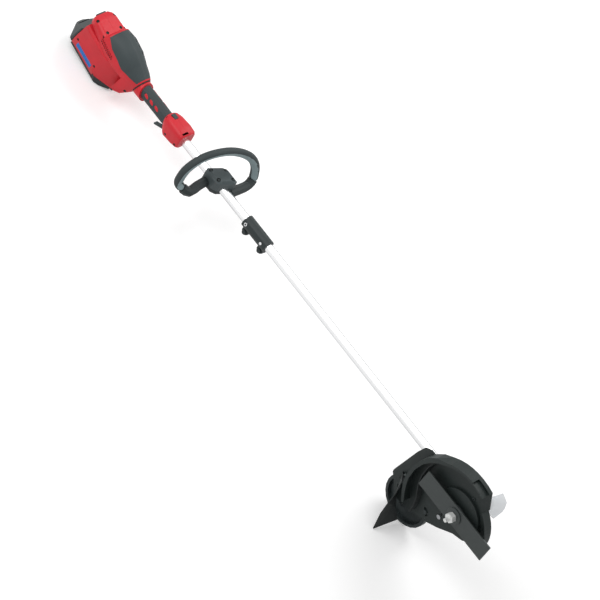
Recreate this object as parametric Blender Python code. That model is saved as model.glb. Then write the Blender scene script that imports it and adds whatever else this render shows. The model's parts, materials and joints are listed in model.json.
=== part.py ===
"""Cordless stick edger: battery power head, two-piece shaft and edger head.

Metres, +Z up. The tool is modelled in its shaft frame: +X runs forward along the
shaft, +Y to the operator's left, +Z square to the shaft, and the origin lies on
the shaft's axis at the front face of the trigger housing. One empty then pitches
the whole tool nose-up, so that it lies as it does on a floor, on the front edge
of its battery and on its depth wheel.
"""

import math

import bmesh
import bpy
from mathutils import Matrix, Vector

# Clearances
SEAT = 0.0003            # gap left between parts that touch
RUNNING = 0.0006         # gap round a part that turns or slides
WALL = 0.0026            # wall of the moulded casings

# Shaft tubes, along X
TUBE_RADIUS = 0.0111
TUBE_WALL = 0.0015
UPPER_TUBE_REAR = -0.192
TUBE_JOINT = 0.276       # where upper and lower tube meet, inside the coupler
LOWER_TUBE_FRONT = 1.052
MIDDLE_X = 0.4116 # from the tool's zero station to halfway along it, over the origin
TUBE_SEGMENTS = 16
SHAFT_RADIUS = 0.004     # drive shafts
COLLAR_LENGTH = 0.012
LINER_RADIUS = 0.0060
UPPER_COLLARS = (-0.189, 0.020, 0.228)  # rear ends of the liners' collars
LOWER_COLLARS = (0.330, 0.675, 1.020)
SOCKET_RADIUS = 0.0066   # sleeve that joins the two drive shafts
SOCKET_SPAN = (0.253, 0.279)
SOCKET_FLOOR = 0.262     # end of the round bore, start of the square one
SOCKET_SQUARE = 0.0052   # side of the square end of the lower shaft

# Coupler, along X
COUPLER_SPAN = (0.2385, 0.3215)
COUPLER_RADIUS = 0.0162
COUPLER_SLOT = 0.0030
EAR_REACH = 0.0285 # from the axis to the end of the clamp ears
EAR_THICKNESS = 0.0052
EAR_LENGTH = 0.020
EAR_DIRECTION = math.radians(-100.0) # down and to the right, seen from the front
UPPER_CLAMP_X = 0.254
LOWER_CLAMP_X = 0.311
CLAMP_BOLT_RADIUS = 0.0026
CLAMP_BOLT_OFFSET = 0.0225 # from the shaft's axis
KNOB_RADIUS = 0.0074
KNOB_HEIGHT = 0.0100
BUTTON_X = 0.3076
BUTTON_RADIUS = 0.0036
PORT_X = 0.2492 # ringed port of the fixed pin, on the upper clamp

# Grip and trigger housing, along X
GRIP_SPAN = (-0.1400, -0.0745)
GRIP_RADIUS = 0.0168
CORE_RADIUS = 0.0134
GRIP_RISE = 0.0018       # the grip's centre above the shaft's axis
ACCENT_SIZE = (0.0155, 0.0052)
ACCENT_HEIGHT = 0.0008
ACCENT_START = -0.1435
ACCENT_RISE = 0.0100 # the accents' centres above the shaft's axis
ACCENT_SPACING = 0.0195
ACCENT_SLANT = math.radians(16.0)
COLLAR_SPAN = (-0.186, -0.1700)
COLLAR_RADIUS = 0.0225
COLLAR_RISE = 0.0005
TRIGGER_HOUSING_FRONT = -0.003
TRIGGER_WALL = 0.0026
LEVER_PIVOT = (-0.046, -0.0165)        # x and z of the trigger's pin
LEVER_TIP = (-0.097, -0.0415)
LEVER_WIDTH = 0.0110
LEVER_THICKNESS = 0.0036
LEVER_PIN_RADIUS = 0.0016
LOCKOUT_X = -0.060
LOCKOUT_SIZE = (0.0150, 0.0110)
LOCKOUT_SPAN = (0.0185, 0.0300)        # height of its foot and of its top
LOCKOUT_FLANGE = 0.0012
LOCKOUT_FOOT_TOP = 0.0207

# Assist handle, a loop whose left side stands further forward than its right
HANDLE_X = 0.136
HANDLE_SKEW = 0.42       # forward shift per unit of distance to the left
BRACKET_LENGTH = 0.052
BRACKET_X = HANDLE_X - 0.012
BRACKET_HALF_WIDTH = 0.026
BRACKET_TOP = 0.0325
BRACKET_BOTTOM = -0.0165
LOOP_CORE_RADIUS = 0.0078
LOOP_ARM_RADIUS = 0.0125
LOOP_GRIP_RADIUS = 0.0122
HANDLE_SCREW_SPACING = (0.030, 0.034)

# Power head, in its own frame: origin on the shaft's axis, pitched rear end up
HEAD_X = -0.164
HEAD_PITCH = math.radians(13.5)
HOUSING_REAR = -0.205
HEAD_WALL = 0.0048       # wall of the housing, thinned under the motor cover
BOX_FRONT = -0.146       # where the square rear box meets the motor dome
LEG_REAR = -0.0505       # rear face of the leg in front of the battery
NECK_FRONT = -0.0140
HOUSING_HALF_WIDTH = 0.0415
DOME_TOP = 0.0460
BOX_TOP = 0.0145
COVER_THICKNESS = 0.0022
COVER_SPAN = (-0.141, -0.0175)
CUFF_SPAN = (-0.0137, -0.0115)
CUFF_RADIUS = 0.0235

# Battery, in the power head's frame
BATTERY_TOP = -0.0120
BATTERY_HEIGHT = 0.1010
BATTERY_HALF_WIDTH = 0.0420
BATTERY_FLOOR_HALF_WIDTH = 0.0330
BATTERY_BEVEL_HEIGHT = 0.0400
BATTERY_FRONT = -0.0560
NOSE_HALF_WIDTH = 0.0140 # flat of the battery's tapered front
NOSE_LENGTH = 0.0480
BATTERY_CASE_REAR = -0.1960
BATTERY_REAR = -0.2160
BUMPER_HEIGHT = 0.0200
BUMPER_SLOPE = (0.0200, 0.0110)        # bevel along its lower front edge
BASE_THICKNESS = 0.0100  # dark sill under the red battery case
HANDLE_SLOT = (0.0480, 0.0420) # width and depth
HANDLE_BAR = 0.0075
REAR_CAP_TOP = (-0.0200, -0.0380)
RAIL_SIZE = (0.0060, 0.0065)
RAIL_HALF_SPACING = 0.0250
CELL_RADIUS = 0.0092
CELL_LENGTH = 0.0650
CELL_ROWS = 4
CELL_COLUMNS = 4
CELL_PITCH = 0.0188
LATCH_SIZE = (0.0100, 0.0260, 0.0075)
LATCH_RISE = 0.0005
LATCH_PROUD = 0.0038

# Motor and reduction gears, parallel to the shaft
MOTOR_RISE = 0.0306 # motor axis above the shaft's axis
MOTOR_SPAN = (-0.2500, -0.2165)
STATOR_RADIUS = 0.0150
STATOR_WALL = 0.0055
ROTOR_SHAFT_RADIUS = 0.0030
ROTOR_SHAFT_SPAN = (-0.264, -0.2038)
END_BELL_LENGTH = 0.0045
FAN_SPAN = (-0.2625, -0.2575)
FAN_RADIUS = 0.0134
FAN_HUB_RADIUS = 0.0060
FAN_BLADES = 9
MOTOR_MOUNT_SPAN = (-0.2162, -0.2112)
GEAR_SPAN = (-0.2090, -0.2042)
DRIVE_SHAFT_REAR = -0.2095
PINION_TEETH = 9
GEAR_TEETH = 27
GEAR_RADIUS_PER_TOOTH = MOTOR_RISE / (PINION_TEETH + GEAR_TEETH)
TERMINAL_SIZE = (0.0180, 0.0240, 0.0060)

# Edger head, in its own frame: origin on the shaft's axis at the spindle,
# sideways distances counted to the operator's right
SPINDLE_X = 1.1025
BLADE_OFFSET = 0.0565
BLADE_LENGTH = 0.2286
BLADE_WIDTH = 0.0570
BLADE_THICKNESS = 0.0030
BLADE_SLANT = 0.0023     # how far each end edge leans
SPINDLE_RADIUS = 0.0060
THREAD_RADIUS = 0.0050
SPINDLE_TIP = 0.0890
FLANGE_RADIUS = 0.0270
OUTER_FLANGE_RADIUS = 0.0215
OUTER_FLANGE_THICKNESS = 0.0042
NUT_ACROSS = 0.0220
NUT_HEIGHT = 0.0125
BACKPLATE_OFFSET = 0.0360
BACKPLATE_THICKNESS = 0.0030
DISC_RADIUS = 0.0630
DISC_HEIGHT = 0.0070
SHROUD_RADIUS = 0.1350
SHROUD_WIDTH = 0.0260
SHROUD_WALL = 0.0030
SHROUD_START = math.radians(74.0)
LIP_RADIUS = 0.0950
LIP_START = math.radians(4.0)
LIP_END = math.radians(57.0)
LIP_WIDTH = 0.0165
GEARBOX_RADIUS = 0.0290
GEARBOX_LEFT = -0.0320
GEARBOX_CAP = 0.0060     # thickness of the left cover
GEARBOX_WALL = 0.0055
NECK_RADIUS = 0.0170
NECK_REAR = -0.1050
BEVEL_MODULE = 0.0015
BEVEL_PINION_TEETH = 12
BEVEL_GEAR_TEETH = 24
BEVEL_FACE = 0.0060
BEVEL_ADDENDUM = 0.8       # share of the module
BEVEL_DEDENDUM = 1.1
BEVEL_HUB = 0.005
PINION_HUB = 0.012
HEAD_BEARING_RADIUS = 0.0130
HEAD_BEARING_WIDTH = 0.0070

# Depth wheel and its arm
WHEEL_RADIUS = 0.0665
WHEEL_CENTRE = (-0.1335, -0.1480)
WHEEL_SPAN = (0.0090, 0.0250)
WHEEL_TYRE = 0.0080
WHEEL_HUB_RADIUS = 0.0140
WHEEL_WEB = (0.0120, 0.0160)           # the disc between tyre and hub
AXLE_RADIUS = 0.0045
ARM_THICKNESS = 0.0060
ARM_PIVOT = (-0.0370, -0.0690)
ARM_WIDTH = 0.0240
ARM_SWING = math.radians(7.0)
ARM_LOCK_SHARE = 0.36    # place of the lock bolt along the arm
LOCK_BOLT_RADIUS = 0.0032
LOCK_KNOB_RADIUS = 0.0100
LOCK_KNOB_HEIGHT = 0.0140
BOLT_HEAD_RADIUS = 0.0060
BOLT_HEAD_HEIGHT = 0.0028

# Smaller fittings
BUTTON_DIRECTION = math.radians(160.0) # turn about X of the release button, from the left side
BUTTON_TOP = 0.0185
PORT_RADIUS = 0.0044
PORT_BORE = 0.0026
PORT_FLOOR = 0.0128
PORT_PROUD = 0.0010
CLAMP_NUT_RADIUS = 0.0048
CLAMP_NUT_HEIGHT = 0.0040
SHAFT_END_GAP = 0.0070   # from the lower drive shaft's end to the spindle
ACCENT_COUNT = 3
LEVER_BOSS = 0.0040      # thickness of the walls that carry the trigger's pin
LEVER_BOSS_RADIUS = 0.0035
LEVER_HUB_RADIUS = 0.0040
SCREW_RADIUS = 0.0016
SCREW_HEAD_RADIUS = 0.0031
SCREW_HEAD_HEIGHT = 0.0022
RAIL_SPAN = (-0.186, -0.084)
RAIL_STEM = 0.0030
RAIL_FOOT = 0.0025
TERMINAL_FRONT = -0.0570
VENT_COUNT = 9
VENT_SPAN = (-0.148, -0.100)
VENT_SIZE = (0.0024, 0.0110)
VENT_RISE = 0.0050
VENT_SLANT = math.radians(-28.0)
BATTERY_EDGE = 0.0050    # bevel along the battery's upper edges
BATTERY_ROOF = 0.0095    # roof of the battery case, which holds the rail grooves
CAP_CORNER = 0.0150 # how far the rear cap narrows on each side
CAP_RISE = 0.0330 # how far its underside rises
STRIP_THICKNESS = 0.0005
BRACKET_CORNER = 0.0080
BRACKET_BEVEL = 0.0060
HANDLE_SCREW_SINK = 0.0026
HANDLE_SCREW_LENGTH = 0.0400
HANDLE_STEPS = 2
LOOP_SIDES = 8
GEARBOX_SHOULDER = 0.0020
FLANGE_HUB_RADIUS = 0.0120
CURTAIN_THICKNESS = 0.0025
CURTAIN_EDGE = 0.0550
FLAP_THICKNESS = 0.0025
GUIDE_THICKNESS = 0.0020

# Forms that follow no rule: each list holds only the corners of its shape
# Power head housing: place, half width, top, bottom of the leg, upper and lower corner radius
HOUSING_SECTIONS = ((HOUSING_REAR, 0.0200, 0.0065, None, 0.0060, 0.0030),
                    (-0.198, 0.0280, 0.0105, None, 0.0090, 0.0030),
                    (-0.188, 0.0320, 0.0135, None, 0.0110, 0.0030),
                    (BOX_FRONT - 0.0040, 0.0368, BOX_TOP, None, 0.0135, 0.0030),
                    (BOX_FRONT + 0.0020, 0.0385, 0.0345, None, 0.0330, 0.0030),
                    (-0.115, HOUSING_HALF_WIDTH, DOME_TOP, None, 0.0405, 0.0030),
                    (-0.079, 0.0400, 0.0440, None, 0.0385, 0.0030),
                    (-0.056, 0.0355, 0.0370, None, 0.0340, 0.0030),
                    (LEG_REAR - 0.0003, 0.0340, 0.0350, None, 0.0325, 0.0030),
                    (LEG_REAR, 0.0340, 0.0350, -0.0780, 0.0325, 0.0120),
                    (-0.028, 0.0300, 0.0285, -0.0600, 0.0270, 0.0140),
                    (NECK_FRONT, 0.0240, 0.0250, -0.0300, 0.0225, 0.0180))
STEPPED_SECTIONS = (8, 9)
COVER_EDGE = ((COVER_SPAN[0], 0.0250), (-0.084, 0.0170), (-0.065, 0.0100), (-0.028, 0.0140),
              (COVER_SPAN[1], 0.0140))
# Trigger housing: half width, top, bottom, upper and lower corner radius
TRIGGER_SECTIONS = ((0.0190, 0.0220, -0.0215, 0.0150, 0.0140), (0.0220, 0.0265, -0.0250, 0.0150, 0.0140),
                    (0.0250, 0.0290, -0.0265, 0.0150, 0.0140), (0.0265, 0.0300, -0.0210, 0.0140, 0.0120),
                    (0.0255, 0.0275, -0.0165, 0.0120, 0.0100), (0.0225, 0.0240, -0.0140, 0.0100, 0.0090))
TRIGGER_LEANS = (0.30, 0.24, 0.05, 0.0, 0.0, 0.0)  # how far each cross-section leans forward towards its foot
COLLAR_LINE = ((-0.1655, 0.0225), (-0.1495, -0.0222))  # where collar and grip meet, in side view
# Assist handle's centreline from its place on the shaft: forward, left, up
HANDLE_PATH = ((-0.0290, -0.0120, 0.0010), (-0.0265, -0.0500, -0.0010), (-0.0230, -0.0780, -0.0045),
               (-0.0350, -0.0920, 0.0020), (-0.0480, -0.0990, 0.0100), (-0.0500, -0.0990, 0.0320),
               (-0.0500, -0.0900, 0.0610), (-0.0450, -0.0500, 0.0900), (-0.0300, 0.0150, 0.0930),
               (-0.0120, 0.0690, 0.0680), (0.0010, 0.0900, 0.0380), (0.0080, 0.0945, 0.0120),
               (0.0137, 0.0910, -0.0034), (0.0180, 0.0760, -0.0135), (0.0200, 0.0480, -0.0105),
               (0.0205, 0.0120, -0.0055))
HANDLE_SLEEVE = (3, 12)  # corners of the centreline between which the soft sleeve lies
# Guard's back plate, from its rear upper corner down and forward: forward, up
PLATE_REAR = ((-0.123, 0.057), (-0.143, 0.057), (-0.160, 0.045), (-0.170, 0.016), (-0.195, -0.091),
              (-0.195, -0.100), (-0.179, -0.119), (-0.159, -0.152), (-0.118, -0.143), (-0.055, -0.118),
              (-0.026, -0.100), (0.001, -0.079), (0.013, -0.070), (0.041, -0.059), (0.062, -0.040),
              (0.079, -0.010))
PLATE_FRONT_CORNER = (0.054, 0.085)
PLATE_ARC_END = math.radians(153.0)
PLATE_MARGIN = math.radians(0.4)
PLATE_CUTOUTS = (((-0.175, -0.096), (-0.164, -0.066), (-0.158, -0.101)),
                 ((-0.168, -0.114), (-0.157, -0.113), (-0.159, -0.132)))
SHROUD_BAND = 0.0100
NOTCH_RADIUS = 0.1285
NOTCH_START = 0.0080
NOTCH_END = math.radians(94.0)
# Fender behind the drum: angle, radius at the plate, outer and inner radius at the near edge
FENDER_SECTIONS = ((142.0, 0.1405, 0.1405, 0.1275), (154.0, 0.1430, 0.1430, 0.1305),
                   (165.0, 0.1450, 0.1450, 0.1350), (181.0, 0.1500, 0.1500, 0.1410),
                   (195.0, 0.1570, 0.1570, 0.1470), (204.0, 0.1610, 0.1610, 0.1505),
                   (213.0, 0.1640, 0.1640, 0.1550), (222.0, 0.1680, 0.1680, 0.1610))
CURTAIN_PATH = ((-0.1147, 0.0540), (-0.1210, 0.0264), (-0.1227, -0.0078), (-0.1188, -0.0343),
                (-0.1117, -0.0550), (-0.1040, -0.0728), (-0.0999, -0.0980), (-0.1004, -0.1252))
# Deflector flap's two edges: forward, right, up
FLAP_NEAR_EDGE = ((-0.1720, 0.0393, -0.0700), (-0.1640, 0.0393, -0.1000), (-0.1560, 0.0393, -0.1350),
                  (-0.1400, 0.0393, -0.1720), (-0.1220, 0.0300, -0.2075))
FLAP_FAR_EDGE = ((-0.1500, 0.0640, -0.0641), (-0.1440, 0.0700, -0.0992), (-0.1426, 0.0780, -0.1328),
                 (-0.1393, 0.0880, -0.1708), (-0.1302, 0.0970, -0.2133))
# Line guide: sideways station, lowest and highest angle
GUIDE_ROWS = ((-0.0200, 55.0, 69.0), (-0.0100, 49.0, 69.7), (0.0000, 46.0, 70.4), (0.0140, 44.5, 71.3),
              (0.0280, 43.0, 72.2), (None, 50.0, 73.0))

# Colour, roughness and metallic value of each material
LOOKS = {
    "red_plastic": ((0.62, 0.025, 0.035), 0.42),
    "grey_plastic": ((0.075, 0.085, 0.088), 0.50),
    "black_plastic": ((0.030, 0.034, 0.035), 0.50),
    "guard_black": ((0.026, 0.029, 0.030), 0.45),
    "rubber": ((0.022, 0.024, 0.025), 0.60),
    "tube": ((0.86, 0.87, 0.88), 0.25, 1.0),
    "bright": ((0.80, 0.82, 0.84), 0.22, 1.0),
    "steel": ((0.45, 0.46, 0.48), 0.35, 1.0),
    "blade_steel": ((0.045, 0.048, 0.050), 0.45),
    "bronze": ((0.55, 0.38, 0.18), 0.40, 1.0),
    "aluminium": ((0.70, 0.71, 0.72), 0.40, 1.0),
    "cast_metal": ((0.06, 0.06, 0.065), 0.50),
    "cell_wrap": ((0.10, 0.25, 0.60), 0.40),
    "clear_plastic": ((0.90, 0.91, 0.92), 0.20, 0.0, 0.6),
}


def clear_scene():
    """Remove every object that the file opened with."""
    for obj in list(bpy.data.objects):
        bpy.data.objects.remove(obj, do_unlink=True)


def make_material(name, colour, roughness, metallic=0.0, alpha=1.0):
    """Return a Principled material with one colour."""
    material = bpy.data.materials.new(name)
    material.use_nodes = True
    shader = material.node_tree.nodes["Principled BSDF"]
    shader.inputs["Base Color"].default_value = (*colour, 1.0)
    shader.inputs["Roughness"].default_value = roughness
    shader.inputs["Metallic"].default_value = metallic
    shader.inputs["Alpha"].default_value = alpha
    material.diffuse_color = (*colour, alpha)
    return material


# Mesh building

SEGMENTS = 20            # sides of most round parts
FINE_SEGMENTS = 24 # sides of large round parts


def arc_points(radius, start, end, steps, centre=(0.0, 0.0)):
    """Return points on an arc in a plane, both ends included."""
    points = []
    for index in range(steps + 1):
        angle = start + (end - start) * index / steps
        points.append((centre[0] + radius * math.cos(angle), centre[1] + radius * math.sin(angle)))
    return points


def turned(profile, segments=SEGMENTS, axis="X", centre=(0.0, 0.0, 0.0), closed=True):
    """Spin a profile of (station, radius) pairs about an axis into a closed solid.

    A closed profile makes a ring; an open one starts and ends on the axis.
    """
    bm = bmesh.new()
    verts = [bm.verts.new((station, 0.0, radius)) for station, radius in profile]
    edges = [bm.edges.new(pair) for pair in zip(verts, verts[1:])]
    if closed:
        edges.append(bm.edges.new((verts[-1], verts[0])))
    bmesh.ops.spin(bm, geom=verts + edges, cent=(0, 0, 0), axis=(1, 0, 0), angle=math.tau,
                   steps=segments, use_merge=True)
    bmesh.ops.remove_doubles(bm, verts=bm.verts, dist=1e-6)
    turns = {"X": Matrix(), "Y": Matrix.Rotation(math.pi / 2, 4, "Z"),
             "-Y": Matrix.Rotation(-math.pi / 2, 4, "Z"), "Z": Matrix.Rotation(-math.pi / 2, 4, "Y")}
    bmesh.ops.transform(bm, matrix=Matrix.Translation(centre) @ turns[axis], verts=bm.verts)
    bmesh.ops.recalc_face_normals(bm, faces=bm.faces)
    return bm


def rod(radius, start, end, segments=SEGMENTS, axis="X", centre=(0.0, 0.0, 0.0)):
    """Return a solid cylinder."""
    profile = [(start, 0.0), (start, radius), (end, radius), (end, 0.0)]
    return turned(profile, segments, axis, centre, closed=False)


def ring(outer, inner, start, end, segments=SEGMENTS, axis="X", centre=(0.0, 0.0, 0.0)):
    """Return a hollow cylinder."""
    profile = [(start, inner), (start, outer), (end, outer), (end, inner)]
    return turned(profile, segments, axis, centre)


def lofted(rings, closed_path=False):
    """Skin a row of rings that have as many points each; open rows get end caps."""
    bm = bmesh.new()
    rows = [[bm.verts.new(point) for point in points] for points in rings]
    pairs = list(zip(rows, rows[1:]))
    if closed_path:
        pairs.append((rows[-1], rows[0]))
    for lower, upper in pairs:
        count = len(lower)
        for index in range(count):
            following = (index + 1) % count
            bm.faces.new((lower[index], lower[following], upper[following], upper[index]))
    if not closed_path:
        bm.faces.new(reversed(rows[0]))
        bm.faces.new(rows[-1])
    bmesh.ops.recalc_face_normals(bm, faces=bm.faces)
    return bm


def prism(outline, start, end, plane="XZ"):
    """Extrude an outline square to its plane, from one station to another."""
    def place(point, station):
        if plane == "XZ":
            return (point[0], station, point[1])
        if plane == "YZ":
            return (station, point[0], point[1])
        return (point[0], point[1], station)
    bm = bmesh.new()
    face = bm.faces.new([bm.verts.new(place(point, start)) for point in outline])
    grown = bmesh.ops.extrude_face_region(bm, geom=[face])
    moved = [item for item in grown["geom"] if isinstance(item, bmesh.types.BMVert)]
    offset = Vector(place((0.0, 0.0), end)) - Vector(place((0.0, 0.0), start))
    bmesh.ops.translate(bm, vec=offset, verts=moved)
    bmesh.ops.recalc_face_normals(bm, faces=bm.faces)
    return bm


def block(low, high):
    """Return a box from its lowest to its highest corner."""
    outline = [(low[0], low[1]), (high[0], low[1]), (high[0], high[1]), (low[0], high[1])]
    return prism(outline, low[2], high[2], plane="XY")


def join(*bodies):
    """Put separate bodies into one mesh without merging them."""
    bm = bmesh.new()
    for body in bodies:
        mesh = bpy.data.meshes.new("body")
        body.to_mesh(mesh)
        bm.from_mesh(mesh)
        bpy.data.meshes.remove(mesh)
        body.free()
    return bm


def combine(target, tool, operation):
    """Return target united with, cut by or kept within the tool body."""
    objects = []
    for body in (target, tool):
        mesh = bpy.data.meshes.new("body")
        body.to_mesh(mesh)
        body.free()
        obj = bpy.data.objects.new("body", mesh)
        bpy.context.scene.collection.objects.link(obj)
        objects.append(obj)
    modifier = objects[0].modifiers.new("combine", "BOOLEAN")
    modifier.operation = operation
    modifier.solver = "EXACT"
    modifier.object = objects[1]
    graph = bpy.context.evaluated_depsgraph_get()
    graph.update()
    result = bmesh.new()
    result.from_mesh(objects[0].evaluated_get(graph).to_mesh())
    for obj in objects:
        mesh = obj.data
        bpy.data.objects.remove(obj, do_unlink=True)
        bpy.data.meshes.remove(mesh)
    bmesh.ops.dissolve_degenerate(result, dist=1e-7, edges=result.edges)
    return result


def cut(target, *tools):
    """Return target with each tool body taken away."""
    for tool in tools:
        target = combine(target, tool, "DIFFERENCE")
    return target


def unite(target, *tools):
    """Return target merged with each tool body."""
    for tool in tools:
        target = combine(target, tool, "UNION")
    return target


def within(target, tool):
    """Return the part of target that lies inside the tool body."""
    return combine(target, tool, "INTERSECT")


def transformed(body, matrix):
    """Return the body moved by a matrix."""
    bmesh.ops.transform(body, matrix=matrix, verts=body.verts)
    return body


def add_part(name, body, material, parent, origin=(0.0, 0.0, 0.0)):
    """Make an object of a body, with its origin at a point of its parent's frame."""
    bmesh.ops.translate(body, vec=-Vector(origin), verts=body.verts)
    mesh = bpy.data.meshes.new(name)
    body.to_mesh(mesh)
    body.free()
    mesh.materials.append(material)
    mesh.shade_smooth()
    mesh.set_sharp_from_angle(angle=math.radians(35.0))
    obj = bpy.data.objects.new(name, mesh)
    bpy.context.scene.collection.objects.link(obj)
    obj.parent = parent
    obj.location = origin
    return obj


def add_empty(name, location, rotation=(0.0, 0.0, 0.0), parent=None):
    """Add the frame that a sub-assembly is placed by."""
    empty = bpy.data.objects.new(name, None)
    empty.empty_display_size = 0.03
    bpy.context.scene.collection.objects.link(empty)
    empty.parent = parent
    empty.location = location
    empty.rotation_euler = rotation
    return empty


# Moulded casings, split down the middle

class Station:
    """One cross-section of a casing: a rectangle with round corners."""

    def __init__(self, at, half_width, top, bottom, top_corner, bottom_corner, lean=0.0):
        self.at = at
        self.lean = lean
        self.half_width = half_width
        self.top = top
        self.bottom = bottom
        self.top_corner = top_corner
        self.bottom_corner = bottom_corner

    def half_ring(self, side, inset=0.0, shift=0.0, split=SEAT / 2):
        """Return the points of one half, from top centre round the side to bottom centre."""
        half_width = self.half_width - inset
        top, bottom = self.top - inset, self.bottom + inset
        top_corner = max(self.top_corner - inset, 0.0008)
        bottom_corner = max(self.bottom_corner - inset, 0.0008)
        upper = arc_points(top_corner, math.pi / 2, 0.0, 4, (half_width - top_corner, top - top_corner))
        lower = arc_points(bottom_corner, 0.0, -math.pi / 2, 4,
                           (half_width - bottom_corner, bottom + bottom_corner))
        points = [(split, top)] + upper + lower + [(split, bottom)]
        return [Vector((self.at + shift + self.lean * (self.top - up), -side * across, up)) for across,
                up in points]


def shell_rings(stations, side, wall, rear_closed, front_closed, stepped, split=SEAT / 2):
    """Return the outer and inner half rings of a casing.

    Where an end is closed, or the floor drops down a step, the inner ring moves in by a wall.
    """
    last = len(stations) - 1
    outer, inner = [], []
    for index, station in enumerate(stations):
        shift, inset = 0.0, wall
        if index in stepped:
            shift, inset = wall, 1.4 * wall
        elif index == 0 and rear_closed:
            shift = wall
        elif index == last and front_closed:
            shift = -wall
        outer.append(station.half_ring(side, split=split))
        inner.append(station.half_ring(side, inset, shift, split))
    return outer, inner


def half_shell(stations, side, wall, rear_closed, front_closed, stepped=()):
    """Return one half of a casing, with its inner face one wall inside the outer."""
    bm = bmesh.new()
    last = len(stations) - 1
    outer, inner = ([[bm.verts.new(point) for point in points] for points in rings]
                    for rings in shell_rings(stations, side, wall, rear_closed, front_closed, stepped))
    count = len(outer[0])
    for index in range(last):
        for step in range(count - 1):
            for rows in (outer, inner):
                bm.faces.new((rows[index][step], rows[index][step + 1],
                              rows[index + 1][step + 1], rows[index + 1][step]))
        for step in (0, count - 1):
            bm.faces.new((outer[index][step], outer[index + 1][step],
                          inner[index + 1][step], inner[index][step]))
    for index, closed in ((0, rear_closed), (last, front_closed)):
        if closed:
            bm.faces.new(outer[index])
            bm.faces.new(inner[index])
            bm.faces.new((outer[index][0], outer[index][-1], inner[index][-1], inner[index][0]))
            continue
        for step in range(count - 1):
            bm.faces.new((outer[index][step], outer[index][step + 1],
                          inner[index][step + 1], inner[index][step]))
    bmesh.ops.recalc_face_normals(bm, faces=bm.faces)
    return bm


def cavity_body(stations, wall, gap, stepped=()):
    """Return the body that fills a closed casing's cavity, with a gap all round."""
    rings = []
    halves = [shell_rings(stations, side, wall + gap, True, True, stepped, 0.0)[1] for side in (1, -1)]
    for right, left in zip(*halves):
        rings.append(right + list(reversed(left[1:-1])))
    return lofted(rings)


def solid_body(stations, inset=0.0):
    """Return the full closed body through a casing's stations."""
    rings = []
    for station in stations:
        right = station.half_ring(1, inset, split=0.0)
        left = station.half_ring(-1, inset, split=0.0)
        rings.append(right + list(reversed(left[1:-1])))
    return lofted(rings)


# Sweeps

def smooth_path(points, steps):
    """Return points of a Catmull-Rom curve through the given ones."""
    padded = [2 * points[0] - points[1]] + points + [2 * points[-1] - points[-2]]
    path = []
    for index in range(1, len(padded) - 2):
        before, start, end, after = padded[index - 1:index + 3]
        for step in range(steps):
            share = step / steps
            path.append(0.5 * (2 * start + (end - before) * share
                               + (2 * before - 5 * start + 4 * end - after) * share ** 2
                               + (3 * start - before - 3 * end + after) * share ** 3))
    path.append(points[-1])
    return path


def sweep_frames(path):
    """Return a point, tangent, normal and binormal along a path, without twist."""
    frames = []
    tangent = (path[1] - path[0]).normalized()
    normal = tangent.orthogonal().normalized()
    for index, point in enumerate(path):
        ahead = path[min(index + 1, len(path) - 1)]
        behind = path[max(index - 1, 0)]
        new_tangent = (ahead - behind).normalized()
        normal = (tangent.rotation_difference(new_tangent) @ normal).normalized()
        tangent = new_tangent
        frames.append((point, tangent, normal, tangent.cross(normal)))
    return frames


def ring_at(frame, radius, sides, nudge=0.0):
    """Return a round ring square to a path."""
    point, tangent, normal, binormal = frame
    turns = [math.tau * side / sides for side in range(sides)]
    return [point + nudge * tangent + radius * (math.cos(turn) * normal + math.sin(turn) * binormal)
            for turn in turns]


# Gears

def gear_ring(teeth, pitch_radius, addendum, dedendum, phase):
    """Return (radius, angle) of a toothed outline, four points to a tooth."""
    points = []
    for tooth in range(teeth):
        middle = phase + math.tau * tooth / teeth
        root, tip = 0.30, 0.13
        spread = math.tau / teeth
        points += [(pitch_radius - dedendum, middle - root * spread),
                   (pitch_radius + addendum, middle - tip * spread),
                   (pitch_radius + addendum, middle + tip * spread),
                   (pitch_radius - dedendum, middle + root * spread)]
    return points


def spur_gear(teeth, pitch_radius, bore, start, end, phase, centre=(0.0, 0.0, 0.0)):
    """Return a spur gear along X."""
    module = 2 * pitch_radius / teeth
    outline = gear_ring(teeth, pitch_radius, 0.85 * module, 1.1 * module, phase)
    rings = []
    for station, bored in ((start, False), (end, False), (end, True), (start, True)):
        rings.append([(centre[0] + station,
                       centre[1] + (bore if bored else radius) * math.cos(angle),
                       centre[2] + (bore if bored else radius) * math.sin(angle))
                      for radius, angle in outline])
    return lofted(rings, closed_path=True)


def meshing_phase(teeth, mate_teeth):
    """Return the turn that meshes a gear with a mate of phase zero straight below it."""
    return math.tau * (0.75 * teeth + 0.25 * mate_teeth - 0.5) / teeth


def bevel_back(teeth, mate_teeth, module, hub):
    """Return how far a bevel gear's hub reaches behind its cone's apex."""
    cone = math.atan2(teeth, mate_teeth)
    return 0.5 * module * mate_teeth + BEVEL_DEDENDUM * module * math.sin(cone) + hub


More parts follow.
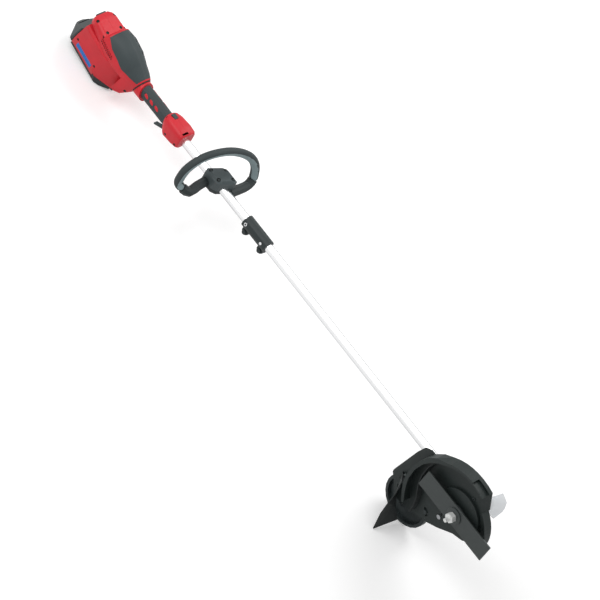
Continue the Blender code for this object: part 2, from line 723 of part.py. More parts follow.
def bevel_gear(teeth, mate_teeth, module, face, bore, hub, phase):
    """Return a bevel gear along X, with its cone's apex at the origin and its teeth facing +X."""
    cone = math.atan2(teeth, mate_teeth)
    reach = 0.5 * module * math.hypot(teeth, mate_teeth)
    addendum, dedendum = BEVEL_ADDENDUM * module, BEVEL_DEDENDUM * module
    outline = gear_ring(teeth, 0.0, addendum, dedendum, phase)

    def toothed(share):
        points = []
        for rise, angle in outline:
            radius = share * (reach * math.sin(cone) + rise * math.cos(cone))
            station = -share * (reach * math.cos(cone) - rise * math.sin(cone))
            points.append((station, radius * math.cos(angle), radius * math.sin(angle)))
        return points

    def bored(station):
        return [(station, bore * math.cos(angle), bore * math.sin(angle)) for _, angle in outline]
    back = -bevel_back(teeth, mate_teeth, module, hub)
    front = -(reach - face) * math.cos(cone)
    collar = [(back, 0.72 * reach * math.sin(cone) * math.cos(angle),
               0.72 * reach * math.sin(cone) * math.sin(angle))
              for _, angle in outline]
    rings = [toothed(1.0), toothed((reach - face) / reach), bored(front), bored(back), collar]
    return lofted(rings, closed_path=True)


def hexagon_nut(across, bore, start, end, axis="-Y", centre=(0.0, 0.0, 0.0)):
    """Return a six-sided nut."""
    rings = []
    for station, radius_of in ((start, "hex"), (end, "hex"), (end, "bore"), (start, "bore")):
        points = []
        for index in range(12):
            angle = math.tau * index / 12
            reach = across / math.sqrt(3) if index % 2 == 0 else across / 2
            radius = reach if radius_of == "hex" else bore
            points.append((station, radius * math.cos(angle), radius * math.sin(angle)))
        rings.append(points)
    body = lofted(rings, closed_path=True)
    turn = Matrix.Rotation(-math.pi / 2 if axis == "-Y" else math.pi / 2, 4, "Z")
    return transformed(body, Matrix.Translation(centre) @ turn)


# Frames

HEAD_MATRIX = Matrix.Translation((HEAD_X, 0.0, 0.0)) @ Matrix.Rotation(HEAD_PITCH, 4, "Y")


def in_tool(body):
    """Turn a body of the power head's frame into the tool's frame."""
    return transformed(body, HEAD_MATRIX)


def in_head(body):
    """Turn a body of the tool's frame into the power head's frame."""
    return transformed(body, HEAD_MATRIX.inverted())


def ground_pitch():
    """Return the pitch and height that lay the tool on its battery and depth wheel."""
    corner = HEAD_MATRIX @ Vector((BATTERY_FRONT - BUMPER_SLOPE[0], 0.0, BATTERY_TOP - BATTERY_HEIGHT))
    wheel = Vector((SPINDLE_X + WHEEL_CENTRE[0], 0.0, WHEEL_CENTRE[1]))
    run, rise = wheel.x - corner.x, wheel.z - corner.z
    pitch = math.atan2(rise, run) - math.asin(WHEEL_RADIUS / math.hypot(run, rise))
    lowest = Matrix.Rotation(pitch, 4, "Y") @ corner
    return pitch, -lowest.z


# Shaft

def button_matrix(station):
    """Place a body whose axis is X so that it points out of the coupler's right side."""
    return (Matrix.Translation((station, 0.0, 0.0)) @ Matrix.Rotation(BUTTON_DIRECTION, 4, "X")
            @ Matrix.Rotation(math.pi / 2, 4, "Z"))


def shaft_liner(collars):
    """Return the liner that carries a drive shaft, with collars that fill the tube."""
    bore, outer = SHAFT_RADIUS + RUNNING, TUBE_RADIUS - TUBE_WALL - SEAT
    profile = []
    for place in collars:
        profile += [(place, LINER_RADIUS), (place, outer), (place + COLLAR_LENGTH, outer),
                    (place + COLLAR_LENGTH, LINER_RADIUS)]
    profile[0] = (collars[0], bore)
    profile[-1] = (collars[-1] + COLLAR_LENGTH, bore)
    return turned(profile, 12)


def build_shaft(tool, looks):
    """Tubes, liners and the two drive shafts, which meet in a square socket."""
    inner = TUBE_RADIUS - TUBE_WALL
    upper = ring(TUBE_RADIUS, inner, UPPER_TUBE_REAR, TUBE_JOINT - SEAT / 2, TUBE_SEGMENTS)
    add_part("upper_tube", upper, looks["tube"], tool)
    lower = ring(TUBE_RADIUS, inner, TUBE_JOINT + SEAT / 2, LOWER_TUBE_FRONT, TUBE_SEGMENTS)
    hole = transformed(rod(BUTTON_RADIUS + RUNNING, 0.0, 2 * TUBE_RADIUS, 12), button_matrix(BUTTON_X))
    add_part("lower_tube", cut(lower, hole), looks["tube"], tool)

    add_part("upper_liner", shaft_liner(UPPER_COLLARS), looks["bronze"], tool)
    add_part("lower_liner", shaft_liner(LOWER_COLLARS), looks["bronze"], tool)

    half = SOCKET_SQUARE / 2
    square = block((SOCKET_FLOOR + 2 * SEAT, -half, -half),
                   (SOCKET_SPAN[1] + COLLAR_LENGTH / 2, half, half))
    shaft_front = SPINDLE_X - SPINDLE_RADIUS - SHAFT_END_GAP
    lower_shaft = unite(rod(SHAFT_RADIUS, SOCKET_SPAN[1] + 3 * SEAT, shaft_front, 16), square)
    add_part("lower_drive_shaft", lower_shaft, looks["steel"], tool)
    half += SEAT
    socket = block((SOCKET_FLOOR, -half, -half), (SOCKET_SPAN[1] + WALL, half, half))
    upper_shaft = unite(rod(SHAFT_RADIUS, DRIVE_SHAFT_REAR, SOCKET_SPAN[0] + WALL, 16),
                        rod(SOCKET_RADIUS, *SOCKET_SPAN, 16))
    add_part("upper_drive_shaft", cut(upper_shaft, socket), looks["steel"], tool)


# Coupler

def ear_matrix(station):
    """Place a body so that its Y axis runs along the clamp ears."""
    return Matrix.Translation((station, 0.0, 0.0)) @ Matrix.Rotation(EAR_DIRECTION, 4, "X")


def build_coupler(tool, looks):
    """Split clamp that holds the lower tube, with its bolt, knob and release button."""
    body = ring(COUPLER_RADIUS, TUBE_RADIUS + SEAT, *COUPLER_SPAN, TUBE_SEGMENTS)
    ear_face = COUPLER_SLOT / 2 + EAR_THICKNESS
    for station in (UPPER_CLAMP_X, LOWER_CLAMP_X):
        outline = [(-EAR_LENGTH / 2, 0.0), (EAR_LENGTH / 2, 0.0), (EAR_LENGTH / 2, CLAMP_BOLT_OFFSET),
                   (EAR_LENGTH / 4, EAR_REACH), (-EAR_LENGTH / 4, EAR_REACH),
                   (-EAR_LENGTH / 2, CLAMP_BOLT_OFFSET)]
        body = unite(body, transformed(prism(outline, -ear_face, ear_face, "XY"), ear_matrix(station)))
    bore = rod(TUBE_RADIUS + SEAT, COUPLER_SPAN[0] - WALL, COUPLER_SPAN[1] + WALL, TUBE_SEGMENTS)
    slot = block((COUPLER_SPAN[0] - WALL, TUBE_RADIUS / 2, -COUPLER_SLOT / 2),
                 (COUPLER_SPAN[1] + WALL, EAR_REACH + WALL, COUPLER_SLOT / 2))
    body = cut(body, bore, transformed(slot, ear_matrix(0.0)))
    for station in (UPPER_CLAMP_X, LOWER_CLAMP_X):
        hole = rod(CLAMP_BOLT_RADIUS + SEAT, -2 * ear_face, 2 * ear_face, 12, "Z",
                   (0.0, CLAMP_BOLT_OFFSET, 0.0))
        body = cut(body, transformed(hole, ear_matrix(station)))
    reach = 2 * COUPLER_RADIUS
    button_hole = transformed(rod(BUTTON_RADIUS + RUNNING, 0.0, reach, 12), button_matrix(BUTTON_X))
    port_hole = transformed(rod(PORT_RADIUS + SEAT, PORT_FLOOR, reach, 12), button_matrix(PORT_X))
    body = cut(body, button_hole, port_hole)
    add_part("coupler_body", body, looks["black_plastic"], tool)

    seat = ear_face + SEAT
    bolt = [(-seat - BOLT_HEAD_HEIGHT, 0.0), (-seat - BOLT_HEAD_HEIGHT, BOLT_HEAD_RADIUS),
            (-seat, BOLT_HEAD_RADIUS),
            (-seat, CLAMP_BOLT_RADIUS), (seat, CLAMP_BOLT_RADIUS)]
    nut = [(seat, CLAMP_NUT_RADIUS), (seat + CLAMP_NUT_HEIGHT, CLAMP_NUT_RADIUS),
           (seat + CLAMP_NUT_HEIGHT, 0.0)]
    knob = [(seat, KNOB_RADIUS), (seat + KNOB_HEIGHT, KNOB_RADIUS), (seat + KNOB_HEIGHT, 0.0)]
    for name, end, station in (("coupler_bolt", nut, UPPER_CLAMP_X), ("coupler_knob", knob, LOWER_CLAMP_X)):
        place = ear_matrix(station)
        centre = place @ Vector((0.0, CLAMP_BOLT_OFFSET, 0.0))
        shape = turned(bolt + end, 12, "Z", (0.0, CLAMP_BOLT_OFFSET, 0.0), closed=False)
        add_part(name, transformed(shape, place), looks["black_plastic"], tool, centre)
    tip = TUBE_RADIUS + RUNNING
    button = [(tip, 0.0), (tip, BUTTON_RADIUS), (BUTTON_TOP, BUTTON_RADIUS), (BUTTON_TOP, 0.0)]
    place = button_matrix(BUTTON_X)
    add_part("spring_button", transformed(turned(button, 12, closed=False), place), looks["bright"], tool,
             place @ Vector((tip, 0.0, 0.0)))
    port = ring(PORT_RADIUS, PORT_BORE, PORT_FLOOR + SEAT, COUPLER_RADIUS + PORT_PROUD, 12)
    add_part("port_ring", transformed(port, button_matrix(PORT_X)), looks["bright"], tool)


# Grip and trigger

def tube_bore(start, end):
    """Return the body that clears the tube."""
    return rod(TUBE_RADIUS + SEAT, start, end, TUBE_SEGMENTS)


def trigger_stations():
    """Return the trigger housing's cross-sections."""
    front = TRIGGER_HOUSING_FRONT
    rear = GRIP_SPAN[1] + SEAT
    places = (rear, rear + 0.005, -0.055, -0.025, front - 0.005, front)
    return [Station(place, *section, lean) for place, section,
            lean in zip(places, TRIGGER_SECTIONS, TRIGGER_LEANS)]


def zone_beside(line, ahead, gap=0.0):
    """Return the body in front of, or behind, a leaning line given by two points (x, z)."""
    (first_x, first_z), (second_x, second_z) = line
    slope = (second_x - first_x) / (second_z - first_z)
    reach = 2 * HOUSING_HALF_WIDTH
    top, foot = ((first_x + (height - first_z) * slope + gap, height) for height in (reach, -reach))
    far = reach if ahead else -3 * reach
    return prism([top, (far, reach), (far, -reach), foot], -reach, reach)


def grip_oval(station, side, grow=0.0):
    """Return the slanted oval column that shows through the grip's side."""
    turns = [math.tau * step / 10 for step in range(10)]
    oval = [((0.5 * ACCENT_SIZE[0] + grow) * math.cos(turn), (0.5 * ACCENT_SIZE[1] + grow) * math.sin(turn))
            for turn in turns]
    column = prism(oval, 0.0, side * 2 * GRIP_RADIUS)
    place = Matrix.Translation((station, 0.0, ACCENT_RISE))
    return transformed(column, place @ Matrix.Rotation(ACCENT_SLANT, 4, "Y"))


def build_grip(tool, looks):
    """Grip core with its collar, and the sleeve that its ovals show through."""
    centre = (0.0, 0.0, GRIP_RISE)
    rear, front = COLLAR_SPAN
    first = trigger_stations()[0]
    face_line = ((first.at, first.top), (first.at + first.lean * (first.top - first.bottom), first.bottom))
    collar = cut(rod(COLLAR_RADIUS, rear, GRIP_SPAN[0], FINE_SEGMENTS, "X", (0.0, 0.0, COLLAR_RISE)),
                 zone_beside(COLLAR_LINE, True))
    core = cut(rod(CORE_RADIUS, front, GRIP_SPAN[1] + COLLAR_RADIUS, TUBE_SEGMENTS),
               zone_beside(face_line, True, -SEAT))
    core = unite(collar, core)
    sleeve = cut(rod(GRIP_RADIUS, rear, GRIP_SPAN[1] + COLLAR_RADIUS, TUBE_SEGMENTS, "X", centre),
                 rod(CORE_RADIUS + SEAT, rear - WALL, 0.0, TUBE_SEGMENTS),
                 zone_beside(COLLAR_LINE, False, SEAT), zone_beside(face_line, True, -SEAT))
    for index in range(ACCENT_COUNT):
        station = ACCENT_START + index * ACCENT_SPACING
        for side in (-1, 1):
            band = ring(GRIP_RADIUS + ACCENT_HEIGHT, CORE_RADIUS / 2, COLLAR_LINE[1][0], GRIP_SPAN[1],
                        TUBE_SEGMENTS, "X", centre)
            core = unite(core, within(band, grip_oval(station, side)))
            sleeve = cut(sleeve, grip_oval(station, side, SEAT))
    reach = 2 * HOUSING_HALF_WIDTH
    behind = in_tool(block((HOUSING_REAR, -reach, -reach), (CUFF_SPAN[1] + SEAT, reach, reach)))
    core = cut(core, tube_bore(rear - WALL, 0.0), behind)
    add_part("grip_core", core, looks["red_plastic"], tool)
    add_part("grip_sleeve", sleeve, looks["grey_plastic"], tool)


def build_trigger(tool, looks):
    """Trigger housing halves, lever, pin and lock-out button."""
    stations = trigger_stations()
    pivot = Vector((LEVER_PIVOT[0], 0.0, LEVER_PIVOT[1]))
    slot_half = LEVER_WIDTH / 2 + RUNNING
    pin_half = slot_half + LEVER_BOSS
    button_half = [half + RUNNING for half in (LOCKOUT_SIZE[0] / 2, LOCKOUT_SIZE[1] / 2)]
    for name, side in (("trigger_housing_right", 1), ("trigger_housing_left", -1)):
        body = half_shell(stations, side, TRIGGER_WALL, True, True)
        boss = [(-LEVER_BOSS_RADIUS, LEVER_BOSS_RADIUS), (-LEVER_BOSS_RADIUS, -LEVER_BOSS_RADIUS * 3),
                (LEVER_BOSS_RADIUS, -LEVER_BOSS_RADIUS * 3), (LEVER_BOSS_RADIUS, LEVER_BOSS_RADIUS)]
        outline = [(pivot.x + across, pivot.z + up) for across, up in boss]
        wall = prism(outline, -side * slot_half, -side * pin_half)
        body = unite(body, within(wall, solid_body(stations, TRIGGER_WALL / 2)))
        lever_slot = block((stations[0].at - WALL, -slot_half, 3 * LEVER_TIP[1]),
                           (LEVER_PIVOT[0] - LEVER_BOSS_RADIUS - RUNNING, slot_half, LEVER_PIVOT[1] - SEAT))
        pin_hole = rod(LEVER_PIN_RADIUS + SEAT, -pin_half - WALL, pin_half + WALL, 12, "Y", pivot)
        button_hole = block((LOCKOUT_X - button_half[0], -button_half[1],
                             stations[2].top - 3 * TRIGGER_WALL),
                            (LOCKOUT_X + button_half[0], button_half[1], stations[2].top + WALL))
        body = cut(body, tube_bore(stations[0].at - WALL, TRIGGER_HOUSING_FRONT + WALL), lever_slot,
                   pin_hole, button_hole)
        add_part(name, body, looks["red_plastic"], tool)

    tip = Vector((LEVER_TIP[0], 0.0, LEVER_TIP[1]))
    along = (tip - pivot).normalized()
    across = Vector((-along.z, 0.0, along.x)) * (LEVER_THICKNESS / 2)
    corners = [pivot + across, tip + across, tip - across, pivot - across]
    lever = prism([(corner.x, corner.z) for corner in corners], -LEVER_WIDTH / 2, LEVER_WIDTH / 2)
    lever = unite(lever, rod(LEVER_HUB_RADIUS, -LEVER_WIDTH / 2, LEVER_WIDTH / 2, 16, "Y", pivot))
    lever = cut(lever, rod(LEVER_PIN_RADIUS + SEAT, -LEVER_WIDTH, LEVER_WIDTH, 12, "Y", pivot))
    add_part("trigger_lever", lever, looks["grey_plastic"], tool, pivot)
    pin_end = pin_half - SEAT
    add_part("trigger_pin", rod(LEVER_PIN_RADIUS, -pin_end, pin_end, 12, "Y", pivot), looks["steel"], tool)

    size_x, size_y = LOCKOUT_SIZE[0] / 2, LOCKOUT_SIZE[1] / 2
    button = block((-size_x, -size_y, LOCKOUT_SPAN[0]), (size_x, size_y, LOCKOUT_SPAN[1]))
    foot = block((-size_x - LOCKOUT_FLANGE, -size_y - LOCKOUT_FLANGE, LOCKOUT_SPAN[0]),
                 (size_x + LOCKOUT_FLANGE, size_y + LOCKOUT_FLANGE, LOCKOUT_FOOT_TOP))
    add_part("lockout_button", transformed(unite(button, foot), Matrix.Translation((LOCKOUT_X, 0.0, 0.0))),
             looks["grey_plastic"], tool, (LOCKOUT_X, 0.0, LOCKOUT_SPAN[1]))


# Power head

def housing_stations():
    """Return the power head housing's cross-sections."""
    floor = BATTERY_TOP + SEAT
    stations = []
    for at, half_width, top, leg, top_corner, bottom_corner in HOUSING_SECTIONS:
        stations.append(Station(at, half_width, top, floor if leg is None else leg, top_corner,
                                bottom_corner))
    return stations


def cover_outline(grow=0.0):
    """Return the side view of the motor cover."""
    low = [(place, height - grow) for place, height in COVER_EDGE]
    rear, front = low[0][0] - grow, low[-1][0] + grow
    start = [(rear, 2 * DOME_TOP), (rear, low[0][1])]
    return start + low[1:-1] + [(front, low[-1][1]), (front, 2 * DOME_TOP)]


def rail_section(centre, grow=0.0):
    """Return the cross-section of a battery rail that hangs from the housing's floor."""
    stem, foot = RAIL_STEM / 2 + grow, RAIL_SIZE[0] / 2 + grow
    top, bottom = BATTERY_TOP + WALL / 2, BATTERY_TOP + SEAT - RAIL_SIZE[1] - grow
    shoulder = bottom + RAIL_FOOT + 2 * grow
    points = [(-stem, top), (-stem, shoulder), (-foot, shoulder), (-foot, bottom),
              (foot, bottom), (foot, shoulder), (stem, shoulder), (stem, top)]
    return [(centre + across, up) for across, up in points]


def build_housing(head, looks):
    """Housing halves, motor cover, cuff, battery terminals and battery latch."""
    stations = housing_stations()
    grown = solid_body(stations, -WALL)
    recess = cut(within(grown, prism(cover_outline(SEAT), -0.2, 0.2)),
                 solid_body(stations, COVER_THICKNESS + SEAT))
    tube = in_head(tube_bore(UPPER_TUBE_REAR - WALL, 0.0))
    latch = block((HOUSING_REAR - WALL, -LATCH_SIZE[1] / 2 - RUNNING,
                   LATCH_RISE - LATCH_SIZE[2] / 2 - RUNNING),
                  (HOUSING_REAR + 2 * HEAD_WALL, LATCH_SIZE[1] / 2 + RUNNING,
                   LATCH_RISE + LATCH_SIZE[2] / 2 + RUNNING))
    for name, side in (("housing_right", 1), ("housing_left", -1)):
        body = half_shell(stations, side, HEAD_WALL, True, True, STEPPED_SECTIONS)
        rail = prism(rail_section(-side * RAIL_HALF_SPACING), *RAIL_SPAN, "YZ")
        body = unite(body, rail)
        body = cut(body, recess.copy(), tube.copy(), latch.copy())
        for index in range(VENT_COUNT):
            place = VENT_SPAN[0] + (VENT_SPAN[1] - VENT_SPAN[0]) * index / (VENT_COUNT - 1)
            slot = transformed(block((-VENT_SIZE[0] / 2, 0.0, -VENT_SIZE[1] / 2),
                                     (VENT_SIZE[0] / 2, -side * 2 * HOUSING_HALF_WIDTH, VENT_SIZE[1] / 2)),
                               Matrix.Translation((place, -side * HOUSING_HALF_WIDTH / 2, VENT_RISE))
                               @ Matrix.Rotation(VENT_SLANT, 4, "Y"))
            body = cut(body, slot)
        add_part(name, body, looks["red_plastic"], head)
    cover = within(solid_body(stations), prism(cover_outline(), -0.2, 0.2))
    cover = cut(cover, solid_body(stations, COVER_THICKNESS))
    add_part("motor_cover", cover, looks["grey_plastic"], head)
    cuff = cut(rod(CUFF_RADIUS, *CUFF_SPAN, TUBE_SEGMENTS), tube.copy())
    add_part("neck_cuff", cuff, looks["black_plastic"], head)
    for spare in (grown, recess, tube, latch):
        if spare.is_valid:
            spare.free()

    front = TERMINAL_FRONT
    low = (front - TERMINAL_SIZE[0], -TERMINAL_SIZE[1] / 2, BATTERY_TOP - TERMINAL_SIZE[2])
    add_part("terminal_block", block(low, (front, TERMINAL_SIZE[1] / 2, BATTERY_TOP)),
             looks["black_plastic"], head)
    button = block((HOUSING_REAR - LATCH_PROUD, -LATCH_SIZE[1] / 2, LATCH_RISE - LATCH_SIZE[2] / 2),
                   (HOUSING_REAR - LATCH_PROUD + LATCH_SIZE[0], LATCH_SIZE[1] / 2,
                    LATCH_RISE + LATCH_SIZE[2] / 2))
    add_part("battery_latch", button, looks["black_plastic"], head, (HOUSING_REAR, 0.0, LATCH_RISE))


def build_motor(tool, looks):
    """Motor with its fan, the mount that carries it and the gear on the drive shaft."""
    centre = (0.0, 0.0, MOTOR_RISE)
    bore = ROTOR_SHAFT_RADIUS + RUNNING
    shell = [(MOTOR_SPAN[1], STATOR_RADIUS), (MOTOR_SPAN[1], STATOR_RADIUS - STATOR_WALL),
             (MOTOR_SPAN[0], STATOR_RADIUS - STATOR_WALL), (MOTOR_SPAN[0], bore),
             (MOTOR_SPAN[0] - END_BELL_LENGTH, bore), (MOTOR_SPAN[0] - END_BELL_LENGTH, STATOR_RADIUS)]
    add_part("motor_stator", turned(shell, TUBE_SEGMENTS, "X", centre), looks["aluminium"], tool, centre)
    rotor_radius = STATOR_RADIUS - STATOR_WALL - RUNNING
    rotor = [(ROTOR_SHAFT_SPAN[0], 0.0), (ROTOR_SHAFT_SPAN[0], ROTOR_SHAFT_RADIUS),
             (MOTOR_SPAN[0] + WALL, ROTOR_SHAFT_RADIUS), (MOTOR_SPAN[0] + WALL, rotor_radius),
             (MOTOR_SPAN[1] - WALL, rotor_radius), (MOTOR_SPAN[1] - WALL, ROTOR_SHAFT_RADIUS),
             (ROTOR_SHAFT_SPAN[1], ROTOR_SHAFT_RADIUS), (ROTOR_SHAFT_SPAN[1], 0.0)]
    outline = gear_ring(FAN_BLADES, FAN_HUB_RADIUS, FAN_RADIUS - FAN_HUB_RADIUS, 0.0, 0.0)
    fan = lofted([[(station, radius * math.cos(angle), MOTOR_RISE + radius * math.sin(angle))
                   for radius, angle in outline] for station in FAN_SPAN])
    pinion = spur_gear(PINION_TEETH, PINION_TEETH * GEAR_RADIUS_PER_TOOTH, ROTOR_SHAFT_RADIUS / 2,
                       *GEAR_SPAN,
                       meshing_phase(PINION_TEETH, GEAR_TEETH), centre)
    body = unite(turned(rotor, 16, "X", centre, closed=False), fan, pinion)
    add_part("motor_rotor", body, looks["steel"], tool, centre)
    reach = 2 * HOUSING_HALF_WIDTH
    slab = block((MOTOR_MOUNT_SPAN[0], -reach, SHAFT_RADIUS), (MOTOR_MOUNT_SPAN[1], reach, reach))
    mount = within(slab, in_tool(cavity_body(housing_stations(), HEAD_WALL, SEAT, STEPPED_SECTIONS)))
    add_part("motor_mount", cut(mount, rod(bore, MOTOR_SPAN[0], 0.0, 16, "X", centre)),
             looks["aluminium"], tool, centre)
    gear = spur_gear(GEAR_TEETH, GEAR_TEETH * GEAR_RADIUS_PER_TOOTH, SHAFT_RADIUS + SEAT, *GEAR_SPAN, 0.0)
    add_part("reduction_gear", gear, looks["steel"], tool)


# Battery

def battery_body(inset=0.0, roof=0.0):
    """Return the battery's whole outer form, or its cavity when inset."""
    half_width = BATTERY_HALF_WIDTH - inset
    front, rear = BATTERY_FRONT - inset, BATTERY_REAR
    nose = NOSE_HALF_WIDTH - inset / 2
    shoulder = BATTERY_FRONT - NOSE_LENGTH - inset / 2
    plan = [(rear, -half_width), (shoulder, -half_width), (front, -nose), (front, nose),
            (shoulder, half_width), (rear, half_width)]
    top, bottom = BATTERY_TOP - roof, BATTERY_TOP - BATTERY_HEIGHT
    bevel = bottom + BATTERY_BEVEL_HEIGHT
    floor_half = BATTERY_FLOOR_HALF_WIDTH - inset
    section = [(half_width - BATTERY_EDGE, top), (half_width, top - BATTERY_EDGE), (half_width, bevel),
               (floor_half, bottom), (-floor_half, bottom), (-half_width, bevel),
               (-half_width, top - BATTERY_EDGE), (-half_width + BATTERY_EDGE, top)]
    return within(prism(plan, bottom - WALL, top + WALL, "XY"),
                  prism(section, rear - WALL, front + WALL, "YZ"))


def build_battery(battery, looks):
    """Battery case, base, rear cap with its carrying bar, cells and screws."""
    reach = 2 * BATTERY_HALF_WIDTH
    bottom = BATTERY_TOP - BATTERY_HEIGHT
    sill_top = bottom + BASE_THICKNESS
    bumper_rear = BATTERY_FRONT - NOSE_LENGTH
    bumper_top = bottom + BUMPER_HEIGHT
    outside = block((BATTERY_CASE_REAR, -reach, sill_top), (0.0, reach, 0.0))
    case = within(battery_body(), outside)
    bumper_zone = block((bumper_rear, -reach, 2 * bottom), (0.0, reach, bumper_top))
    inside = block((BATTERY_CASE_REAR + WALL, -reach, 2 * bottom), (0.0, reach, 0.0))
    cavity = within(battery_body(WALL, BATTERY_ROOF), inside)
    case = cut(case, bumper_zone, cavity)
    for side in (-1, 1):
        groove = prism(rail_section(side * RAIL_HALF_SPACING, RUNNING), RAIL_SPAN[0] - RUNNING, 0.0, "YZ")
        case = cut(case, groove)
    pocket = block((TERMINAL_FRONT - TERMINAL_SIZE[0] - WALL, -TERMINAL_SIZE[1] / 2 - RUNNING,
                    BATTERY_TOP - TERMINAL_SIZE[2] - RUNNING), (0.0, TERMINAL_SIZE[1] / 2 + RUNNING, 0.0))
    add_part("battery_case", cut(case, pocket), looks["red_plastic"], battery)

    sill = block((BATTERY_CASE_REAR, -reach, 2 * bottom), (bumper_rear + WALL, reach, sill_top - SEAT))
    bumper = block((bumper_rear + SEAT, -reach, 2 * bottom), (0.0, reach, bumper_top - SEAT))
    slope = [(BATTERY_FRONT - BUMPER_SLOPE[0], bottom),
             (BATTERY_FRONT + WALL, bottom + BUMPER_SLOPE[1] * 1.13),
             (BATTERY_FRONT + WALL, 2 * bottom), (BATTERY_FRONT - BUMPER_SLOPE[0], 2 * bottom)]
    base = cut(within(battery_body(), unite(sill, bumper)), prism(slope, -reach, reach))
    add_part("battery_base", base, looks["black_plastic"], battery)

    cap_front = BATTERY_CASE_REAR - SEAT
    side_view = [(BATTERY_REAR, REAR_CAP_TOP[1]), (cap_front, REAR_CAP_TOP[0]), (cap_front, bottom),
                 (BATTERY_REAR, bottom + CAP_RISE)]
    cap = within(battery_body(), prism(side_view, -reach, reach))
    for side in (-1, 1):
        corner = [(BATTERY_REAR, side * (BATTERY_HALF_WIDTH - CAP_CORNER)),
                  (BATTERY_REAR + 2 * WALL, side * (BATTERY_HALF_WIDTH - CAP_CORNER / 2)),
                  (cap_front + SEAT, side * (BATTERY_HALF_WIDTH + SEAT)),
                  (cap_front, side * (BATTERY_HALF_WIDTH + WALL)),
                  (BATTERY_REAR - WALL, side * (BATTERY_HALF_WIDTH + WALL)),
                  (BATTERY_REAR - WALL, side * (BATTERY_HALF_WIDTH - CAP_CORNER))]
        cap = cut(cap, prism(corner, 2 * bottom, 0.0, "XY"))
    slot_rear = BATTERY_REAR + HANDLE_BAR
    slot = block((slot_rear, -HANDLE_SLOT[0] / 2, REAR_CAP_TOP[1] - HANDLE_SLOT[1]),
                 (0.0, HANDLE_SLOT[0] / 2, 0.0))
    add_part("battery_rear_cap", cut(cap, slot), looks["black_plastic"], battery)

    first = BATTERY_CASE_REAR + WALL + SEAT + CELL_RADIUS
    end = (first + (CELL_COLUMNS - 1) * CELL_PITCH, sill_top + CELL_RADIUS + (CELL_ROWS - 1) * CELL_PITCH)
    pack = None
    for column in range(CELL_COLUMNS):
        for row in range(CELL_ROWS):
            centre = (first + column * CELL_PITCH, 0.0, sill_top + CELL_RADIUS + row * CELL_PITCH)
            cell = rod(CELL_RADIUS, -CELL_LENGTH / 2, CELL_LENGTH / 2, 8, "Y", centre)
            pack = cell if pack is None else join(pack, cell)
    for side in (-1, 1):
        strip = block((first, side * (CELL_LENGTH / 2 - STRIP_THICKNESS), sill_top + CELL_RADIUS),
                      (end[0], side * (CELL_LENGTH / 2 + STRIP_THICKNESS), end[1]))
        pack = unite(pack, strip)
    add_part("battery_cells", pack, looks["cell_wrap"], battery)


# Assist handle

def bracket_outline(half_length, half_width, corner):
    """Return the plan of the bracket, an octagon skewed with the handle."""
    points = [(half_length, half_width - corner), (half_length - corner, half_width),
              (corner - half_length, half_width), (-half_length, half_width - corner),
              (-half_length, corner - half_width), (corner - half_length, -half_width),
              (half_length - corner, -half_width), (half_length, corner - half_width)]
    return [(BRACKET_X + along + HANDLE_SKEW * left, left) for along, left in points]


def bracket_body(levels, grow=0.0):
    """Return a bracket half through levels of (height, inset)."""
    rings = []
    for height, inset in levels:
        outline = bracket_outline(BRACKET_LENGTH / 2 - inset + grow, BRACKET_HALF_WIDTH - inset + grow,
                                  BRACKET_CORNER)
        rings.append([(x, y, height) for x, y in outline])
    return lofted(rings)


